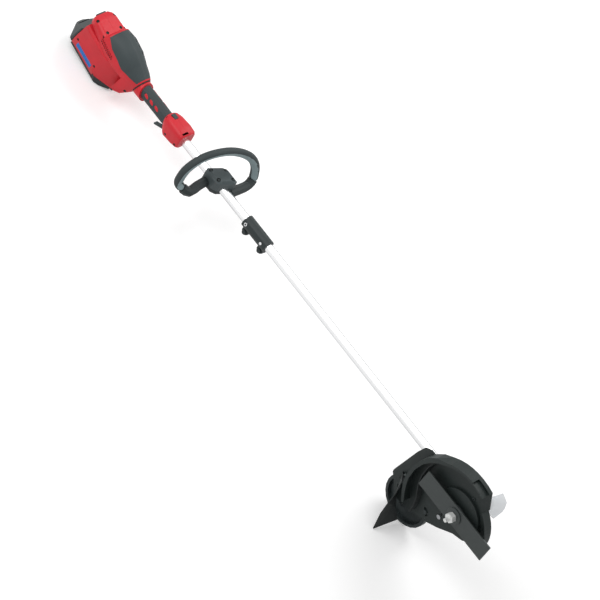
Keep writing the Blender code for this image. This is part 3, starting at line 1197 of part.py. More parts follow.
def build_handle(tool, looks):
    """Loop handle with its soft sleeve, and the clamp that holds it to the shaft."""
    path = smooth_path([Vector((HANDLE_X + x, y, z)) for x, y, z in HANDLE_PATH], HANDLE_STEPS)
    frames = sweep_frames(path)
    first, last = (index * HANDLE_STEPS for index in HANDLE_SLEEVE)
    rows = []
    for index, frame in enumerate(frames):
        arm = index <= first or index >= last
        if index == last:
            rows.append(ring_at(frame, LOOP_CORE_RADIUS, LOOP_SIDES))
        rows.append(ring_at(frame, LOOP_ARM_RADIUS if arm else LOOP_CORE_RADIUS, LOOP_SIDES))
        if index == first:
            rows.append(ring_at(frame, LOOP_CORE_RADIUS, LOOP_SIDES))
    loop = lofted(rows)
    hub = bracket_body(((-SEAT / 2, 0.0), (BRACKET_BOTTOM + BRACKET_BEVEL, 0.0),
                        (BRACKET_BOTTOM, BRACKET_BEVEL)))
    cap_zone = bracket_body(((-SEAT / 2, 0.0), (2 * BRACKET_TOP, 0.0)), SEAT)
    bore = tube_bore(HANDLE_X - 2 * BRACKET_LENGTH, HANDLE_X + 2 * BRACKET_LENGTH)
    frame_body = cut(unite(loop, hub), cap_zone, bore.copy())
    cap = bracket_body(((SEAT / 2, 0.0), (BRACKET_TOP - BRACKET_BEVEL, 0.0), (BRACKET_TOP, BRACKET_BEVEL)))
    cap = cut(cap, bore)
    head_seat = BRACKET_TOP - HANDLE_SCREW_SINK
    ends = (("rear", -0.5), ("front", 0.5))
    for along_name, along in ends:
        for left_name, left in (("right", -0.5), ("left", 0.5)):
            y = left * HANDLE_SCREW_SPACING[1]
            centre = (BRACKET_X + along * HANDLE_SCREW_SPACING[0] + HANDLE_SKEW * y, y, 0.0)
            depth = head_seat - HANDLE_SCREW_LENGTH
            frame_body = cut(frame_body, rod(SCREW_RADIUS + SEAT, depth - SEAT, BRACKET_TOP, 8, "Z",
                                             centre))
            cap = cut(cap, rod(SCREW_RADIUS + SEAT, -BRACKET_TOP, 2 * BRACKET_TOP, 8, "Z", centre),
                      rod(SCREW_HEAD_RADIUS + SEAT, head_seat, 2 * BRACKET_TOP, 10, "Z", centre))
            profile = [(depth, 0.0), (depth, SCREW_RADIUS), (head_seat + SEAT, SCREW_RADIUS),
                       (head_seat + SEAT, SCREW_HEAD_RADIUS),
                       (head_seat + SEAT + SCREW_HEAD_HEIGHT, SCREW_HEAD_RADIUS),
                       (head_seat + SEAT + SCREW_HEAD_HEIGHT, 0.0)]
            add_part(f"handle_screw_{along_name}_{left_name}",
                     turned(profile, 8, "Z", centre, closed=False),
                     looks["steel"], tool)
    add_part("handle_frame", frame_body, looks["black_plastic"], tool)
    add_part("handle_cap", cap, looks["black_plastic"], tool)

    outer, inner = [], []
    for index in range(first, last + 1):
        nudge = SEAT if index == first else -SEAT if index == last else 0.0
        outer.append(ring_at(frames[index], LOOP_GRIP_RADIUS, LOOP_SIDES, nudge))
        inner.append(ring_at(frames[index], LOOP_CORE_RADIUS + SEAT, LOOP_SIDES, nudge))
    add_part("handle_sleeve", lofted(outer + list(reversed(inner)), closed_path=True),
             looks["grey_plastic"], tool)


# Edger head

def polar(radius, angle, right):
    """Return a point of the edger head, angle from the shaft's forward direction."""
    return Vector((radius * math.cos(angle), -right, radius * math.sin(angle)))


def build_gearbox(edger, looks):
    """Gearbox casing and cover, bevel gears, spindle and bearings."""
    right = BACKPLATE_OFFSET + DISC_HEIGHT - SEAT
    cap_face = GEARBOX_LEFT + GEARBOX_CAP
    bearing_right = right - GEARBOX_WALL - HEAD_BEARING_WIDTH
    cavity_end = bearing_right - SEAT - GEARBOX_SHOULDER
    cavity = GEARBOX_RADIUS - GEARBOX_WALL
    casing = unite(rod(GEARBOX_RADIUS, cap_face + SEAT, right, FINE_SEGMENTS, "-Y"),
                   rod(NECK_RADIUS, NECK_REAR, -GEARBOX_RADIUS / 2, TUBE_SEGMENTS))
    casing = cut(casing, rod(cavity, cap_face - WALL, cavity_end, FINE_SEGMENTS, "-Y"),
                 rod(HEAD_BEARING_RADIUS + SEAT, cavity_end - WALL,
                     bearing_right + HEAD_BEARING_WIDTH + SEAT, 20, "-Y"),
                 rod(SPINDLE_RADIUS + 2 * RUNNING, 0.0, right + WALL, 20, "-Y"),
                 rod(TUBE_RADIUS + SEAT, NECK_REAR - WALL, -SPINDLE_RADIUS, TUBE_SEGMENTS))
    cover = rod(GEARBOX_RADIUS, GEARBOX_LEFT, cap_face, FINE_SEGMENTS, "-Y")
    boss_end = -bevel_back(BEVEL_GEAR_TEETH, BEVEL_PINION_TEETH, BEVEL_MODULE, BEVEL_HUB) - RUNNING
    pocket_start = boss_end - HEAD_BEARING_WIDTH
    cover = unite(cover, rod(HEAD_BEARING_RADIUS + GEARBOX_WALL / 2, cap_face - WALL, boss_end, 20, "-Y"))
    cover = cut(cover, rod(HEAD_BEARING_RADIUS + SEAT, pocket_start - SEAT, boss_end + WALL, 20, "-Y"))
    add_part("gearbox_housing", casing, looks["cast_metal"], edger)
    add_part("gearbox_cover", cover, looks["cast_metal"], edger)

    gear = bevel_gear(BEVEL_GEAR_TEETH, BEVEL_PINION_TEETH, BEVEL_MODULE, BEVEL_FACE, SPINDLE_RADIUS + SEAT,
                      BEVEL_HUB, math.pi / BEVEL_GEAR_TEETH)
    add_part("bevel_gear", transformed(gear, Matrix.Rotation(-math.pi / 2, 4, "Z")), looks["steel"], edger)
    pinion = bevel_gear(BEVEL_PINION_TEETH, BEVEL_GEAR_TEETH, BEVEL_MODULE, BEVEL_FACE, SHAFT_RADIUS + SEAT,
                        PINION_HUB, 0.0)
    add_part("bevel_pinion", pinion, looks["steel"], edger)
    for name, start in (("spindle_bearing_left", pocket_start), ("spindle_bearing_right", bearing_right)):
        bearing = ring(HEAD_BEARING_RADIUS, SPINDLE_RADIUS + SEAT, start, start + HEAD_BEARING_WIDTH, 16,
                       "-Y")
        add_part(name, bearing, looks["steel"], edger)
    front = -bevel_back(BEVEL_PINION_TEETH, BEVEL_GEAR_TEETH, BEVEL_MODULE, PINION_HUB) - RUNNING
    bearing = ring(TUBE_RADIUS, SHAFT_RADIUS + SEAT, front - HEAD_BEARING_WIDTH, front, 16)
    add_part("pinion_bearing", bearing, looks["steel"], edger)
    thread = BLADE_OFFSET + BLADE_THICKNESS + OUTER_FLANGE_THICKNESS + SEAT
    spindle = [(pocket_start, 0.0), (pocket_start, SPINDLE_RADIUS), (thread, SPINDLE_RADIUS),
               (thread, THREAD_RADIUS),
               (SPINDLE_TIP, THREAD_RADIUS), (SPINDLE_TIP, 0.0)]
    add_part("spindle", turned(spindle, 20, "-Y", closed=False), looks["bright"], edger)


def build_blade(edger, looks):
    """Blade between its flanges, held by a nut."""
    bore = SPINDLE_RADIUS + SEAT
    flange_end = BLADE_OFFSET - SEAT
    start = BACKPLATE_OFFSET + DISC_HEIGHT + BACKPLATE_THICKNESS + RUNNING
    inner = [(start, bore), (start, FLANGE_HUB_RADIUS),
             (flange_end - OUTER_FLANGE_THICKNESS, FLANGE_HUB_RADIUS),
             (flange_end - OUTER_FLANGE_THICKNESS, FLANGE_RADIUS), (flange_end, FLANGE_RADIUS),
             (flange_end, bore)]
    add_part("inner_flange", turned(inner, TUBE_SEGMENTS, "-Y"), looks["cast_metal"], edger)
    half_length, half_width = BLADE_LENGTH / 2, BLADE_WIDTH / 2
    outline = [(half_length + BLADE_SLANT, half_width), (-half_length + BLADE_SLANT, half_width),
               (-half_length - BLADE_SLANT, -half_width), (half_length - BLADE_SLANT, -half_width)]
    blade = prism(outline, -BLADE_OFFSET, -BLADE_OFFSET - BLADE_THICKNESS)
    blade = cut(blade, rod(bore, 0.0, SPINDLE_TIP, 20, "-Y"))
    add_part("blade", blade, looks["blade_steel"], edger)
    outer_start = BLADE_OFFSET + BLADE_THICKNESS + SEAT
    outer_end = outer_start + OUTER_FLANGE_THICKNESS
    outer = [(outer_start, bore), (outer_start, OUTER_FLANGE_RADIUS),
             (outer_start + OUTER_FLANGE_THICKNESS / 2, OUTER_FLANGE_RADIUS),
             (outer_end, FLANGE_HUB_RADIUS),
             (outer_end, bore)]
    add_part("outer_flange", turned(outer, TUBE_SEGMENTS, "-Y"), looks["blade_steel"], edger)
    nut_start = outer_end + SEAT
    add_part("blade_nut", hexagon_nut(NUT_ACROSS, THREAD_RADIUS + SEAT, nut_start, nut_start + NUT_HEIGHT),
             looks["bright"], edger)


def arc_wall(sections, root):
    """Return a wall that stands on the back plate, with a flange along its near edge.

    Each section is (angle, outer radius at the plate, outer radius and inner radius at
    the near edge); the near edge is SHROUD_WIDTH out from the plate.
    """
    near = root + SHROUD_WIDTH
    rings = []
    for angle, back, outer, inner in sections:
        turn = math.radians(angle)
        rings.append([polar(back, turn, root), polar(outer, turn, near), polar(inner, turn, near),
                      polar(inner, turn, near - SHROUD_WALL),
                      polar(outer - SHROUD_WALL, turn, near - SHROUD_WALL),
                      polar(back - SHROUD_WALL, turn, root)])
    return lofted(rings)


def arc_band(inner, outer, start, end, left, right, steps):
    """Return a curved wall between two radii, two angles and two sideways stations."""
    rings = []
    for index in range(steps + 1):
        turn = start + (end - start) * index / steps
        rings.append([polar(inner, turn, left), polar(outer, turn, left), polar(outer, turn, right),
                      polar(inner, turn, right)])
    return lofted(rings)


def build_guard(edger, looks):
    """Guard shell, curtain, deflector flap and line guide."""
    back = BACKPLATE_OFFSET
    face = back + BACKPLATE_THICKNESS
    root = face - SEAT
    outline = list(PLATE_REAR)
    outline += arc_points(LIP_RADIUS, LIP_START, LIP_END, 6)
    outline += [PLATE_FRONT_CORNER]
    outline += arc_points(SHROUD_RADIUS, SHROUD_START + PLATE_MARGIN, PLATE_ARC_END, 10)
    plate = prism(outline, -back, -face)
    plate = unite(plate, rod(DISC_RADIUS, back, face + DISC_HEIGHT, FINE_SEGMENTS, "-Y"))
    plate = cut(plate, rod(DISC_RADIUS - BACKPLATE_THICKNESS, back - WALL, back + DISC_HEIGHT,
                           FINE_SEGMENTS, "-Y"),
                rod(SPINDLE_RADIUS + 2 * RUNNING, 0.0, SPINDLE_TIP, 20, "-Y"))
    drum = [(math.degrees(SHROUD_START) + step * 7.0, SHROUD_RADIUS + 0.002, SHROUD_RADIUS - 0.002,
             SHROUD_RADIUS - SHROUD_BAND) for step in range(9)]
    plate = unite(plate, arc_wall(drum + list(FENDER_SECTIONS), root))
    step_wall = arc_band(NOTCH_RADIUS - SHROUD_WALL, NOTCH_RADIUS, SHROUD_START + PLATE_MARGIN, NOTCH_END,
                         root,
                         root + SHROUD_WIDTH - SEAT, 4)
    notch = arc_band(NOTCH_RADIUS, 1.1 * SHROUD_RADIUS, SHROUD_START - 0.05, NOTCH_END - 0.03,
                     root + NOTCH_START,
                     root + 2 * SHROUD_WIDTH, 4)
    plate = cut(unite(plate, step_wall), notch)
    lip = arc_band(LIP_RADIUS - SHROUD_WALL, LIP_RADIUS, LIP_START, LIP_END, root, root + LIP_WIDTH, 8)
    plate = unite(plate, lip)
    for hole in PLATE_CUTOUTS:
        plate = cut(plate, prism(hole, 0.0, -SPINDLE_TIP))
    pivot = Vector((ARM_PIVOT[0], 0.0, ARM_PIVOT[1]))
    arm = Vector((WHEEL_CENTRE[0], 0.0, WHEEL_CENTRE[1])) - pivot
    reach = ARM_LOCK_SHARE * arm.length
    heading = math.atan2(arm.z, arm.x)
    half = LOCK_BOLT_RADIUS + RUNNING
    margin = ARM_SWING + 1.5 * half / reach
    centre = (pivot.x, pivot.z)
    slot = (arc_points(reach + half, heading - margin, heading + margin, 6, centre)
            + arc_points(reach - half, heading + margin, heading - margin, 6, centre))
    plate = cut(plate, prism(slot, 0.0, -SPINDLE_TIP),
                rod(LOCK_BOLT_RADIUS + SEAT, 0.0, SPINDLE_TIP, 12, "-Y", pivot))
    add_part("guard_shell", plate, looks["guard_black"], edger)

    low, high = face + SEAT, CURTAIN_EDGE
    path = [Vector((x, 0.0, z)) for x, z in CURTAIN_PATH]
    rings = []
    for index, point in enumerate(path):
        run = (path[min(index + 1, len(path) - 1)] - path[max(index - 1, 0)]).normalized()
        side = Vector((-run.z, 0.0, run.x)) * (CURTAIN_THICKNESS / 2)
        rings.append([point + side + Vector((0.0, -low, 0.0)), point + side + Vector((0.0, -high, 0.0)),
                      point - side + Vector((0.0, -high, 0.0)), point - side + Vector((0.0, -low, 0.0))])
    add_part("guard_curtain", lofted(rings), looks["rubber"], edger)

    rings = []
    thickness = Vector((-FLAP_THICKNESS, 0.0, 0.0))
    for near, far in zip(FLAP_NEAR_EDGE, FLAP_FAR_EDGE):
        inner = Vector((near[0], -near[1], near[2]))
        outer = Vector((far[0], -far[1], far[2]))
        rings.append([inner, outer, outer + thickness, inner + thickness])
    flap = lofted(rings)
    bmesh.ops.triangulate(flap, faces=flap.faces)
    add_part("deflector_flap", flap, looks["rubber"], edger)

    rings = []
    for right, low_angle, high_angle in GUIDE_ROWS:
        place = back - SEAT if right is None else right
        turns = [math.radians(low_angle + (high_angle - low_angle) * step / 4) for step in range(5)]
        rings.append([polar(LIP_RADIUS + GUIDE_THICKNESS / 2, turn, place) for turn in turns]
                     + [polar(LIP_RADIUS - GUIDE_THICKNESS / 2, turn, place) for turn in reversed(turns)])
    add_part("line_guide", lofted(rings), looks["clear_plastic"], edger)


def build_wheel(edger, looks):
    """Depth wheel on its axle, and the arm that sets its height."""
    pivot = Vector((ARM_PIVOT[0], 0.0, ARM_PIVOT[1]))
    centre = Vector((WHEEL_CENTRE[0], 0.0, WHEEL_CENTRE[1]))
    arm_right = BACKPLATE_OFFSET - SEAT
    arm_left = arm_right - ARM_THICKNESS
    wheel = ring(WHEEL_RADIUS, WHEEL_RADIUS - WHEEL_TYRE, *WHEEL_SPAN, FINE_SEGMENTS, "-Y", centre)
    wheel = unite(wheel, rod(WHEEL_HUB_RADIUS, WHEEL_SPAN[0], arm_left - SEAT, 16, "-Y", centre))
    wheel = unite(wheel, rod(WHEEL_RADIUS - WHEEL_TYRE / 2, *WHEEL_WEB, FINE_SEGMENTS, "-Y", centre))
    wheel = cut(wheel, rod(AXLE_RADIUS + SEAT, 0.0, arm_right, 16, "-Y", centre))
    add_part("depth_wheel", wheel, looks["black_plastic"], edger, centre)
    head = WHEEL_SPAN[0] - RUNNING
    axle = [(head - BOLT_HEAD_HEIGHT, 0.0), (head - BOLT_HEAD_HEIGHT, 2 * AXLE_RADIUS),
            (head, 2 * AXLE_RADIUS),
            (head, AXLE_RADIUS), (arm_right - SEAT, AXLE_RADIUS), (arm_right - SEAT, 0.0)]
    add_part("wheel_axle", turned(axle, 16, "-Y", centre, closed=False), looks["steel"], edger, centre)

    along = centre - pivot
    heading = math.atan2(along.z, along.x)
    outline = (arc_points(ARM_WIDTH / 2, heading - math.pi / 2, heading + math.pi / 2, 6,
                          (centre.x, centre.z))
               + arc_points(ARM_WIDTH / 2, heading + math.pi / 2, heading + 3 * math.pi / 2, 6,
                            (pivot.x, pivot.z)))
    arm = prism(outline, -arm_left, -arm_right)
    lock = pivot + ARM_LOCK_SHARE * along
    for spot, radius in ((pivot, LOCK_BOLT_RADIUS), (lock, LOCK_BOLT_RADIUS), (centre, AXLE_RADIUS)):
        arm = cut(arm, rod(radius + SEAT, 0.0, SPINDLE_TIP, 12, "-Y", spot))
    add_part("wheel_arm", arm, looks["black_plastic"], edger, pivot)

    face = BACKPLATE_OFFSET + BACKPLATE_THICKNESS + SEAT
    for name, spot, radius, height in (("arm_pivot_bolt", pivot, BOLT_HEAD_RADIUS, 2 * BOLT_HEAD_HEIGHT),
                                       ("arm_lock_knob", lock, LOCK_KNOB_RADIUS, LOCK_KNOB_HEIGHT)):
        start = arm_left - SEAT
        bolt = [(start - height, 0.0), (start - height, radius), (start, radius), (start, LOCK_BOLT_RADIUS),
                (face, LOCK_BOLT_RADIUS), (face, BOLT_HEAD_RADIUS),
                (face + BOLT_HEAD_HEIGHT, BOLT_HEAD_RADIUS),
                (face + BOLT_HEAD_HEIGHT, 0.0)]
        add_part(name, turned(bolt, 12, "-Y", spot, closed=False), looks["black_plastic"], edger, spot)


def main():
    """Build the whole tool."""
    clear_scene()
    looks = {name: make_material(name, *values) for name, values in LOOKS.items()}
    pitch, height = ground_pitch()
    tool = add_empty("tool", (-MIDDLE_X, 0.0, height), (0.0, pitch, 0.0))
    head = add_empty("power_head", (HEAD_X, 0.0, 0.0), (0.0, HEAD_PITCH, 0.0), tool)
    battery = add_empty("battery", (0.0, 0.0, 0.0), (0.0, 0.0, 0.0), head)
    edger = add_empty("edger_head", (SPINDLE_X, 0.0, 0.0), (0.0, 0.0, 0.0), tool)
    build_shaft(tool, looks)
    build_coupler(tool, looks)
    build_grip(tool, looks)
    build_trigger(tool, looks)
    build_housing(head, looks)
    build_motor(tool, looks)
    build_battery(battery, looks)
    build_handle(tool, looks)
    build_gearbox(edger, looks)
    build_blade(edger, looks)
    build_guard(edger, looks)
    build_wheel(edger, looks)


main()
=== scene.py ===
import json
import logging
import math
from collections.abc import Iterable, Iterator
from contextlib import contextmanager
from dataclasses import dataclass, field
from enum import Enum
from functools import cache

import bmesh
import bpy
from bpy.types import Material, Node, NodeSocket, NodeTree, Object
from mathutils import Matrix, Vector

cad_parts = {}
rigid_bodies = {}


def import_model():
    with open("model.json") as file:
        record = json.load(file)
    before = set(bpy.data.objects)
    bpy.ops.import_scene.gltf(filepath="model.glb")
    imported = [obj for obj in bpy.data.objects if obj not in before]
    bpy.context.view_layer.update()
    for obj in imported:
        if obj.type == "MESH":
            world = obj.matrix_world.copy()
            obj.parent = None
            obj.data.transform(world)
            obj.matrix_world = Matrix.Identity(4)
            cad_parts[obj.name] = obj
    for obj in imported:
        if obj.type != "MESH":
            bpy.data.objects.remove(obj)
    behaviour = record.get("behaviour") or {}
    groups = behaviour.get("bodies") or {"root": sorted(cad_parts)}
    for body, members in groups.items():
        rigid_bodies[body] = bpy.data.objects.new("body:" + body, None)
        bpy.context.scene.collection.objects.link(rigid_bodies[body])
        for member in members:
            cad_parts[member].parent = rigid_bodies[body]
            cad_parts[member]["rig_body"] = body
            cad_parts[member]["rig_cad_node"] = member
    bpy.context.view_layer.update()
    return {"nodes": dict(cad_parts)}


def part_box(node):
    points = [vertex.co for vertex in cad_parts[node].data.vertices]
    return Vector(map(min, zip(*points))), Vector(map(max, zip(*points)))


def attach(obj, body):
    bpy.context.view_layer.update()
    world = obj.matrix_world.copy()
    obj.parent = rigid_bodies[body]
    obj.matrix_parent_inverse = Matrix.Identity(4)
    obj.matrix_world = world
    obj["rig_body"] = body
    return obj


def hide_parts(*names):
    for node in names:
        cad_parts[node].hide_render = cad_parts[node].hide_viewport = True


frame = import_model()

log = logging.getLogger("edger")

Point = tuple[float, float, float]
Colour = tuple[float, float, float]
Span = tuple[float, float]

# The tool's own frames: X runs forward along the shaft, Z away from the ground
TOOL = Matrix(((0.995088, 0, -0.098996, -0.4116), (0, 1, 0, 0),
               (0.098996, 0, 0.995088, 0.117846), (0, 0, 0, 1)))
HEAD = Matrix(((0.990704, 0, 0.136038, -0.574794), (0, 1, 0, 0),
               (-0.136038, 0, 0.990704, 0.101611), (0, 0, 0, 1)))
CUTTER = TOOL @ Matrix.Translation((1.1025, 0, 0))

# Limits for making and shading a mesh, in metres and radians
WELD_GAP = 0.00001
FLAT_TURN = math.radians(0.5)
SHARP_TURN = math.radians(38.0)
SMOOTH_TURN = math.radians(34.0)
FACE_WEIGHT = 60
ROUND_SIDES = 20
# The shortest edge that is rounded, in widths of its rounding
SHORTEST_EDGE = 5.0


class Side(Enum):
    """The two sides of the tool, seen by the person who holds it."""

    LEFT = 1
    RIGHT = -1

    def mirrored(self, point: Point) -> Point:
        """Returns where a point of the left side lies on this side."""
        return (point[0], point[1] * self.value, point[2])

    def out(self) -> Point:
        """Returns the way straight out of this side."""
        return (0.0, float(self.value), 0.0)

    def label(self) -> str:
        """Returns the side as it stands in the names of pieces."""
        return self.name.lower()


# Materials

class Wiring:
    """A node tree and the few moves that fill it."""

    def __init__(self, tree: NodeTree) -> None:
        """Keeps the tree that the nodes go into."""
        self.tree = tree

    def fill(self, node: Node, inputs: dict[str | int, object]) -> None:
        """Gives a node's inputs what they take.

        Args:
            node: The node.
            inputs: For each input an output to link, or a plain value.
        """
        for label, value in inputs.items():
            if isinstance(value, NodeSocket):
                self.tree.links.new(value, node.inputs[label])
            else:
                node.inputs[label].default_value = value

    def add(self, kind: str, inputs: dict[str | int, object] | None = None, **settings: object) -> Node:
        """Adds a node.

        Args:
            kind: The node's type, without ShaderNode in front.
            inputs: For each input an output to link, or a plain value.
            settings: Its properties.

        Returns:
            The node.
        """
        node = self.tree.nodes.new("ShaderNode" + kind)
        for name, value in settings.items():
            setattr(node, name, value)
        self.fill(node, inputs or {})
        return node

    def coordinates(self) -> NodeSocket:
        """Returns the object's own coordinates."""
        return self.add("TexCoord").outputs["Object"]

    def noise(self, vector: NodeSocket, scale: float, detail: float) -> NodeSocket:
        """Adds a cloudy pattern and returns its value."""
        return self.add("TexNoise", {"Vector": vector, "Scale": scale, "Detail": detail}).outputs["Fac"]

    def work(self, operation: str, *terms: NodeSocket | float, clamp: bool = False) -> NodeSocket:
        """Works out one sum or product and returns it."""
        return self.add("Math", dict(enumerate(terms)), operation=operation, use_clamp=clamp).outputs[0]

    def relief(self, height: NodeSocket, depth: float) -> NodeSocket:
        """Returns the normal of a relief with a height of 0 to about 1 and a depth in metres."""
        return self.add("Bump", {"Height": height, "Distance": depth, "Strength": 1.0}).outputs["Normal"]

    def spread(self, source: NodeSocket, to: Span = (0.0, 1.0), of: Span = (0.0, 1.0)) -> NodeSocket:
        """Spreads a value over a range.

        Args:
            source: The value.
            to: What the two ends become.
            of: The two ends.

        Returns:
            The spread value.
        """
        ends = dict(zip(("From Min", "From Max", "To Min", "To Max"), (*of, *to)))
        return self.add("MapRange", {"Value": source, **ends}).outputs["Result"]

    def mix(self, mask: NodeSocket, plain: Colour | NodeSocket, other: Colour) -> NodeSocket:
        """Mixes two colours by a mask.

        Args:
            mask: 0 where the first colour shows and 1 where the second does.
            plain: The first colour.
            other: The second colour.

        Returns:
            The mixed colour.
        """
        first = plain if isinstance(plain, NodeSocket) else (*plain, 1.0)
        return self.add("Mix", {"Factor": mask, 6: first, 7: (*other, 1.0)}, data_type="RGBA").outputs[2]

    def effect(self, group: NodeTree, **values: object) -> bpy.types.NodeOutputs:
        """Places a shared effect on the object's coordinates.

        Args:
            group: The effect.
            values: Values of its inputs, with underscores for spaces.

        Returns:
            What it puts out.
        """
        inputs = {label.replace("_", " "): value for label, value in values.items()}
        return self.add("Group", {"Vector": self.coordinates(), **inputs}, node_tree=group).outputs


def start_group(name: str, inputs: dict[str, float | Point], outputs: tuple[str, ...]) -> tuple:
    """Starts a node group with named sockets.

    Args:
        name: The group's name.
        inputs: The default of each input beside Vector.
        outputs: The values that it puts out.

    Returns:
        The group, its wiring, its inputs and its output node.
    """
    group = bpy.data.node_groups.new(name, "ShaderNodeTree")
    group.interface.new_socket("Vector", in_out="INPUT", socket_type="NodeSocketVector")
    for label, value in inputs.items():
        kind = "NodeSocketVector" if isinstance(value, tuple) else "NodeSocketFloat"
        group.interface.new_socket(label, in_out="INPUT", socket_type=kind).default_value = value
    for label in outputs:
        group.interface.new_socket(label, in_out="OUTPUT", socket_type="NodeSocketFloat")
    start, end = group.nodes.new("NodeGroupInput"), group.nodes.new("NodeGroupOutput")
    return group, Wiring(group), start.outputs, end


@cache
def mould_grain() -> NodeTree:
    """Builds the fine spark-eroded grain that a mould leaves on plastic.

    Returns:
        The group, with the grain's height and a slow drift of the gloss.
    """
    group, wiring, start, end = start_group("Mould grain", {"Grain Scale": 1500.0}, ("Height", "Drift"))
    cells = wiring.add("TexVoronoi", {"Vector": start["Vector"], "Scale": start["Grain Scale"]},
                       feature="SMOOTH_F1")
    ripple = wiring.noise(start["Vector"], scale=900.0, detail=3.0)
    wiring.fill(end, {"Height": wiring.work("MULTIPLY_ADD", cells.outputs["Distance"], 0.7, ripple),
                      "Drift": wiring.noise(start["Vector"], scale=22.0, detail=4.0)})
    return group


@cache
def rubbed_edges() -> NodeTree:
    """Builds the mask of edges that hands and ground have rubbed.

    Returns:
        The group, with a mask of 0 on flats and up to 1 on rubbed edges.
    """
    group, wiring, start, end = start_group("Rubbed edges", {"Width": 0.0006, "Amount": 1.0}, ("Mask",))
    rounded = wiring.add("Bevel", {"Radius": start["Width"]}, samples=4)
    normals = {0: rounded.outputs["Normal"], 1: wiring.add("NewGeometry").outputs["Normal"]}
    turn = wiring.add("VectorMath", normals, operation="DOT_PRODUCT").outputs["Value"]
    edge = wiring.spread(turn, of=(0.98, 0.80))
    worn = wiring.spread(wiring.noise(start["Vector"], scale=130.0, detail=5.0), of=(0.42, 0.68))
    share = wiring.work("MULTIPLY", wiring.work("MULTIPLY", edge, worn), start["Amount"])
    wiring.fill(end, {"Mask": share})
    return group


@cache
def drawn_lines() -> NodeTree:
    """Builds the fine lines that drawing, turning or grinding leaves on metal.

    Returns:
        The group, with the lines' height and a mask of handling marks.
    """
    group, wiring, start, end = start_group("Drawn lines", {"Stretch": (30.0, 1500.0, 1500.0)},
                                            ("Height", "Marks"))
    pull = wiring.add("VectorMath", {0: start["Vector"], 1: start["Stretch"]}, operation="MULTIPLY")
    wiring.fill(end, {"Height": wiring.noise(pull.outputs["Vector"], scale=1.0, detail=4.0),
                      "Marks": wiring.noise(start["Vector"], scale=45.0, detail=6.0)})
    return group


def bare_material(name: str) -> tuple[Material, Wiring, Node]:
    """Starts a material with its one shader.

    Args:
        name: The material's name.

    Returns:
        The material, its wiring and its shader.
    """
    material = bpy.data.materials.new(name)
    material.use_nodes = True
    return material, Wiring(material.node_tree), material.node_tree.nodes["Principled BSDF"]


@dataclass(frozen=True)
class MouldedPlastic:
    """Injection-moulded plastic with a grained skin and slightly rubbed edges."""

    name: str
    slot: str
    colour: Colour
    rubbed: Colour
    gloss: Span
    grain_scale: float
    grain_depth: float
    edge_amount: float
    coat: float = 0.0
    coat_roughness: float = 0.18
    specular: float = 0.28
    edge_width: float = 0.0007
    shade: float = 0.86
    drift: Span = (-0.6, 1.6)

    def make(self) -> Material:
        """Makes the material.

        Returns:
            The material.
        """
        material, wiring, shader = bare_material(self.name)
        grain = wiring.effect(mould_grain(), Grain_Scale=self.grain_scale)
        edges = wiring.effect(rubbed_edges(), Width=self.edge_width, Amount=self.edge_amount)
        deeper = tuple(part * self.shade for part in self.colour)
        body = wiring.mix(wiring.spread(grain["Drift"], self.drift), deeper, self.colour)
        wiring.fill(shader, {"Base Color": wiring.mix(edges["Mask"], body, self.rubbed),
                             "Roughness": wiring.spread(grain["Drift"], self.gloss),
                             "Normal": wiring.relief(grain["Height"], self.grain_depth),
                             "Specular IOR Level": self.specular})
        if self.coat:
            wiring.fill(shader, {"Coat Weight": self.coat, "Coat Roughness": self.coat_roughness})
        return material


@dataclass(frozen=True)
class DrawnMetal:
    """Drawn, turned or ground metal, dulled by handling marks, or darkened towards its rim by painted shade.
    """

    name: str
    slot: str
    colour: Colour
    # The darker colour: handling marks, or painted shade towards the rim
    worn_and_rim_shade: Colour
    roughness: Span
    stretch: Point = (30.0, 1500.0, 1500.0)
    depth: float = 0.000004
    metallic: float = 1.0
    fade: Span = (-0.3, 1.0)
    rim: bool = False

    def make(self) -> Material:
        """Makes the material.

        Returns:
            The material.
        """
        material, wiring, shader = bare_material(self.name)
        lines = wiring.effect(drawn_lines(), Stretch=self.stretch)
        # With rim set, the colour darkens where the surface turns away from the camera: painted shade on the
        # edges
        wear_and_rim_shade_mask = wiring.add("LayerWeight").outputs["Facing"] if self.rim else lines["Marks"]
        mask = wiring.spread(wear_and_rim_shade_mask, self.fade)
        wiring.fill(shader, {"Base Color": wiring.mix(mask, self.colour, self.worn_and_rim_shade),
                             "Roughness": wiring.spread(lines["Marks"], self.roughness),
                             "Normal": wiring.relief(lines["Height"], self.depth),
                             "Metallic": self.metallic})
        return material


@dataclass(frozen=True)
class FrostedPlastic:
    """Milky clear plastic that lets the ground show through."""

    name: str
    slot: str
    colour: Colour
    clearness: float
    cool: Colour = (0.94, 0.97, 1.0)
    gloss: Span = (0.16, 0.34)
    bending: float = 1.49
    grain_scale: float = 700.0
    grain_depth: float = 0.00002

    def make(self) -> Material:
        """Makes the material.

        Returns:
            The material.
        """
        material, wiring, shader = bare_material(self.name)
        grain = wiring.effect(mould_grain(), Grain_Scale=self.grain_scale)
        cooler = tuple(part * share for part, share in zip(self.colour, self.cool))
        wiring.fill(shader, {"Base Color": wiring.mix(grain["Drift"], self.colour, cooler),
                             "Roughness": wiring.spread(grain["Drift"], self.gloss),
                             "Normal": wiring.relief(grain["Height"], self.grain_depth),
                             "Transmission Weight": self.clearness, "IOR": self.bending})
        return material


@dataclass(frozen=True)
class BlankFilm:
    """The plain printed film of a label that carries no words."""

    name: str
    slot: str
    colour: Colour
    paler: Colour
    gloss: Span = (0.40, 0.52)
    depth: float = 0.00003
    specular: float = 0.15

    def make(self) -> Material:
        """Makes the material.

        Returns:
            The material.
        """
        material, wiring, shader = bare_material(self.name)
        fade = wiring.noise(wiring.coordinates(), scale=60.0, detail=3.0)
        wiring.fill(shader, {"Base Color": wiring.mix(fade, self.colour, self.paler),
                             "Roughness": wiring.spread(fade, self.gloss),
                             "Normal": wiring.relief(fade, self.depth),
                             "Specular IOR Level": self.specular})
        return material


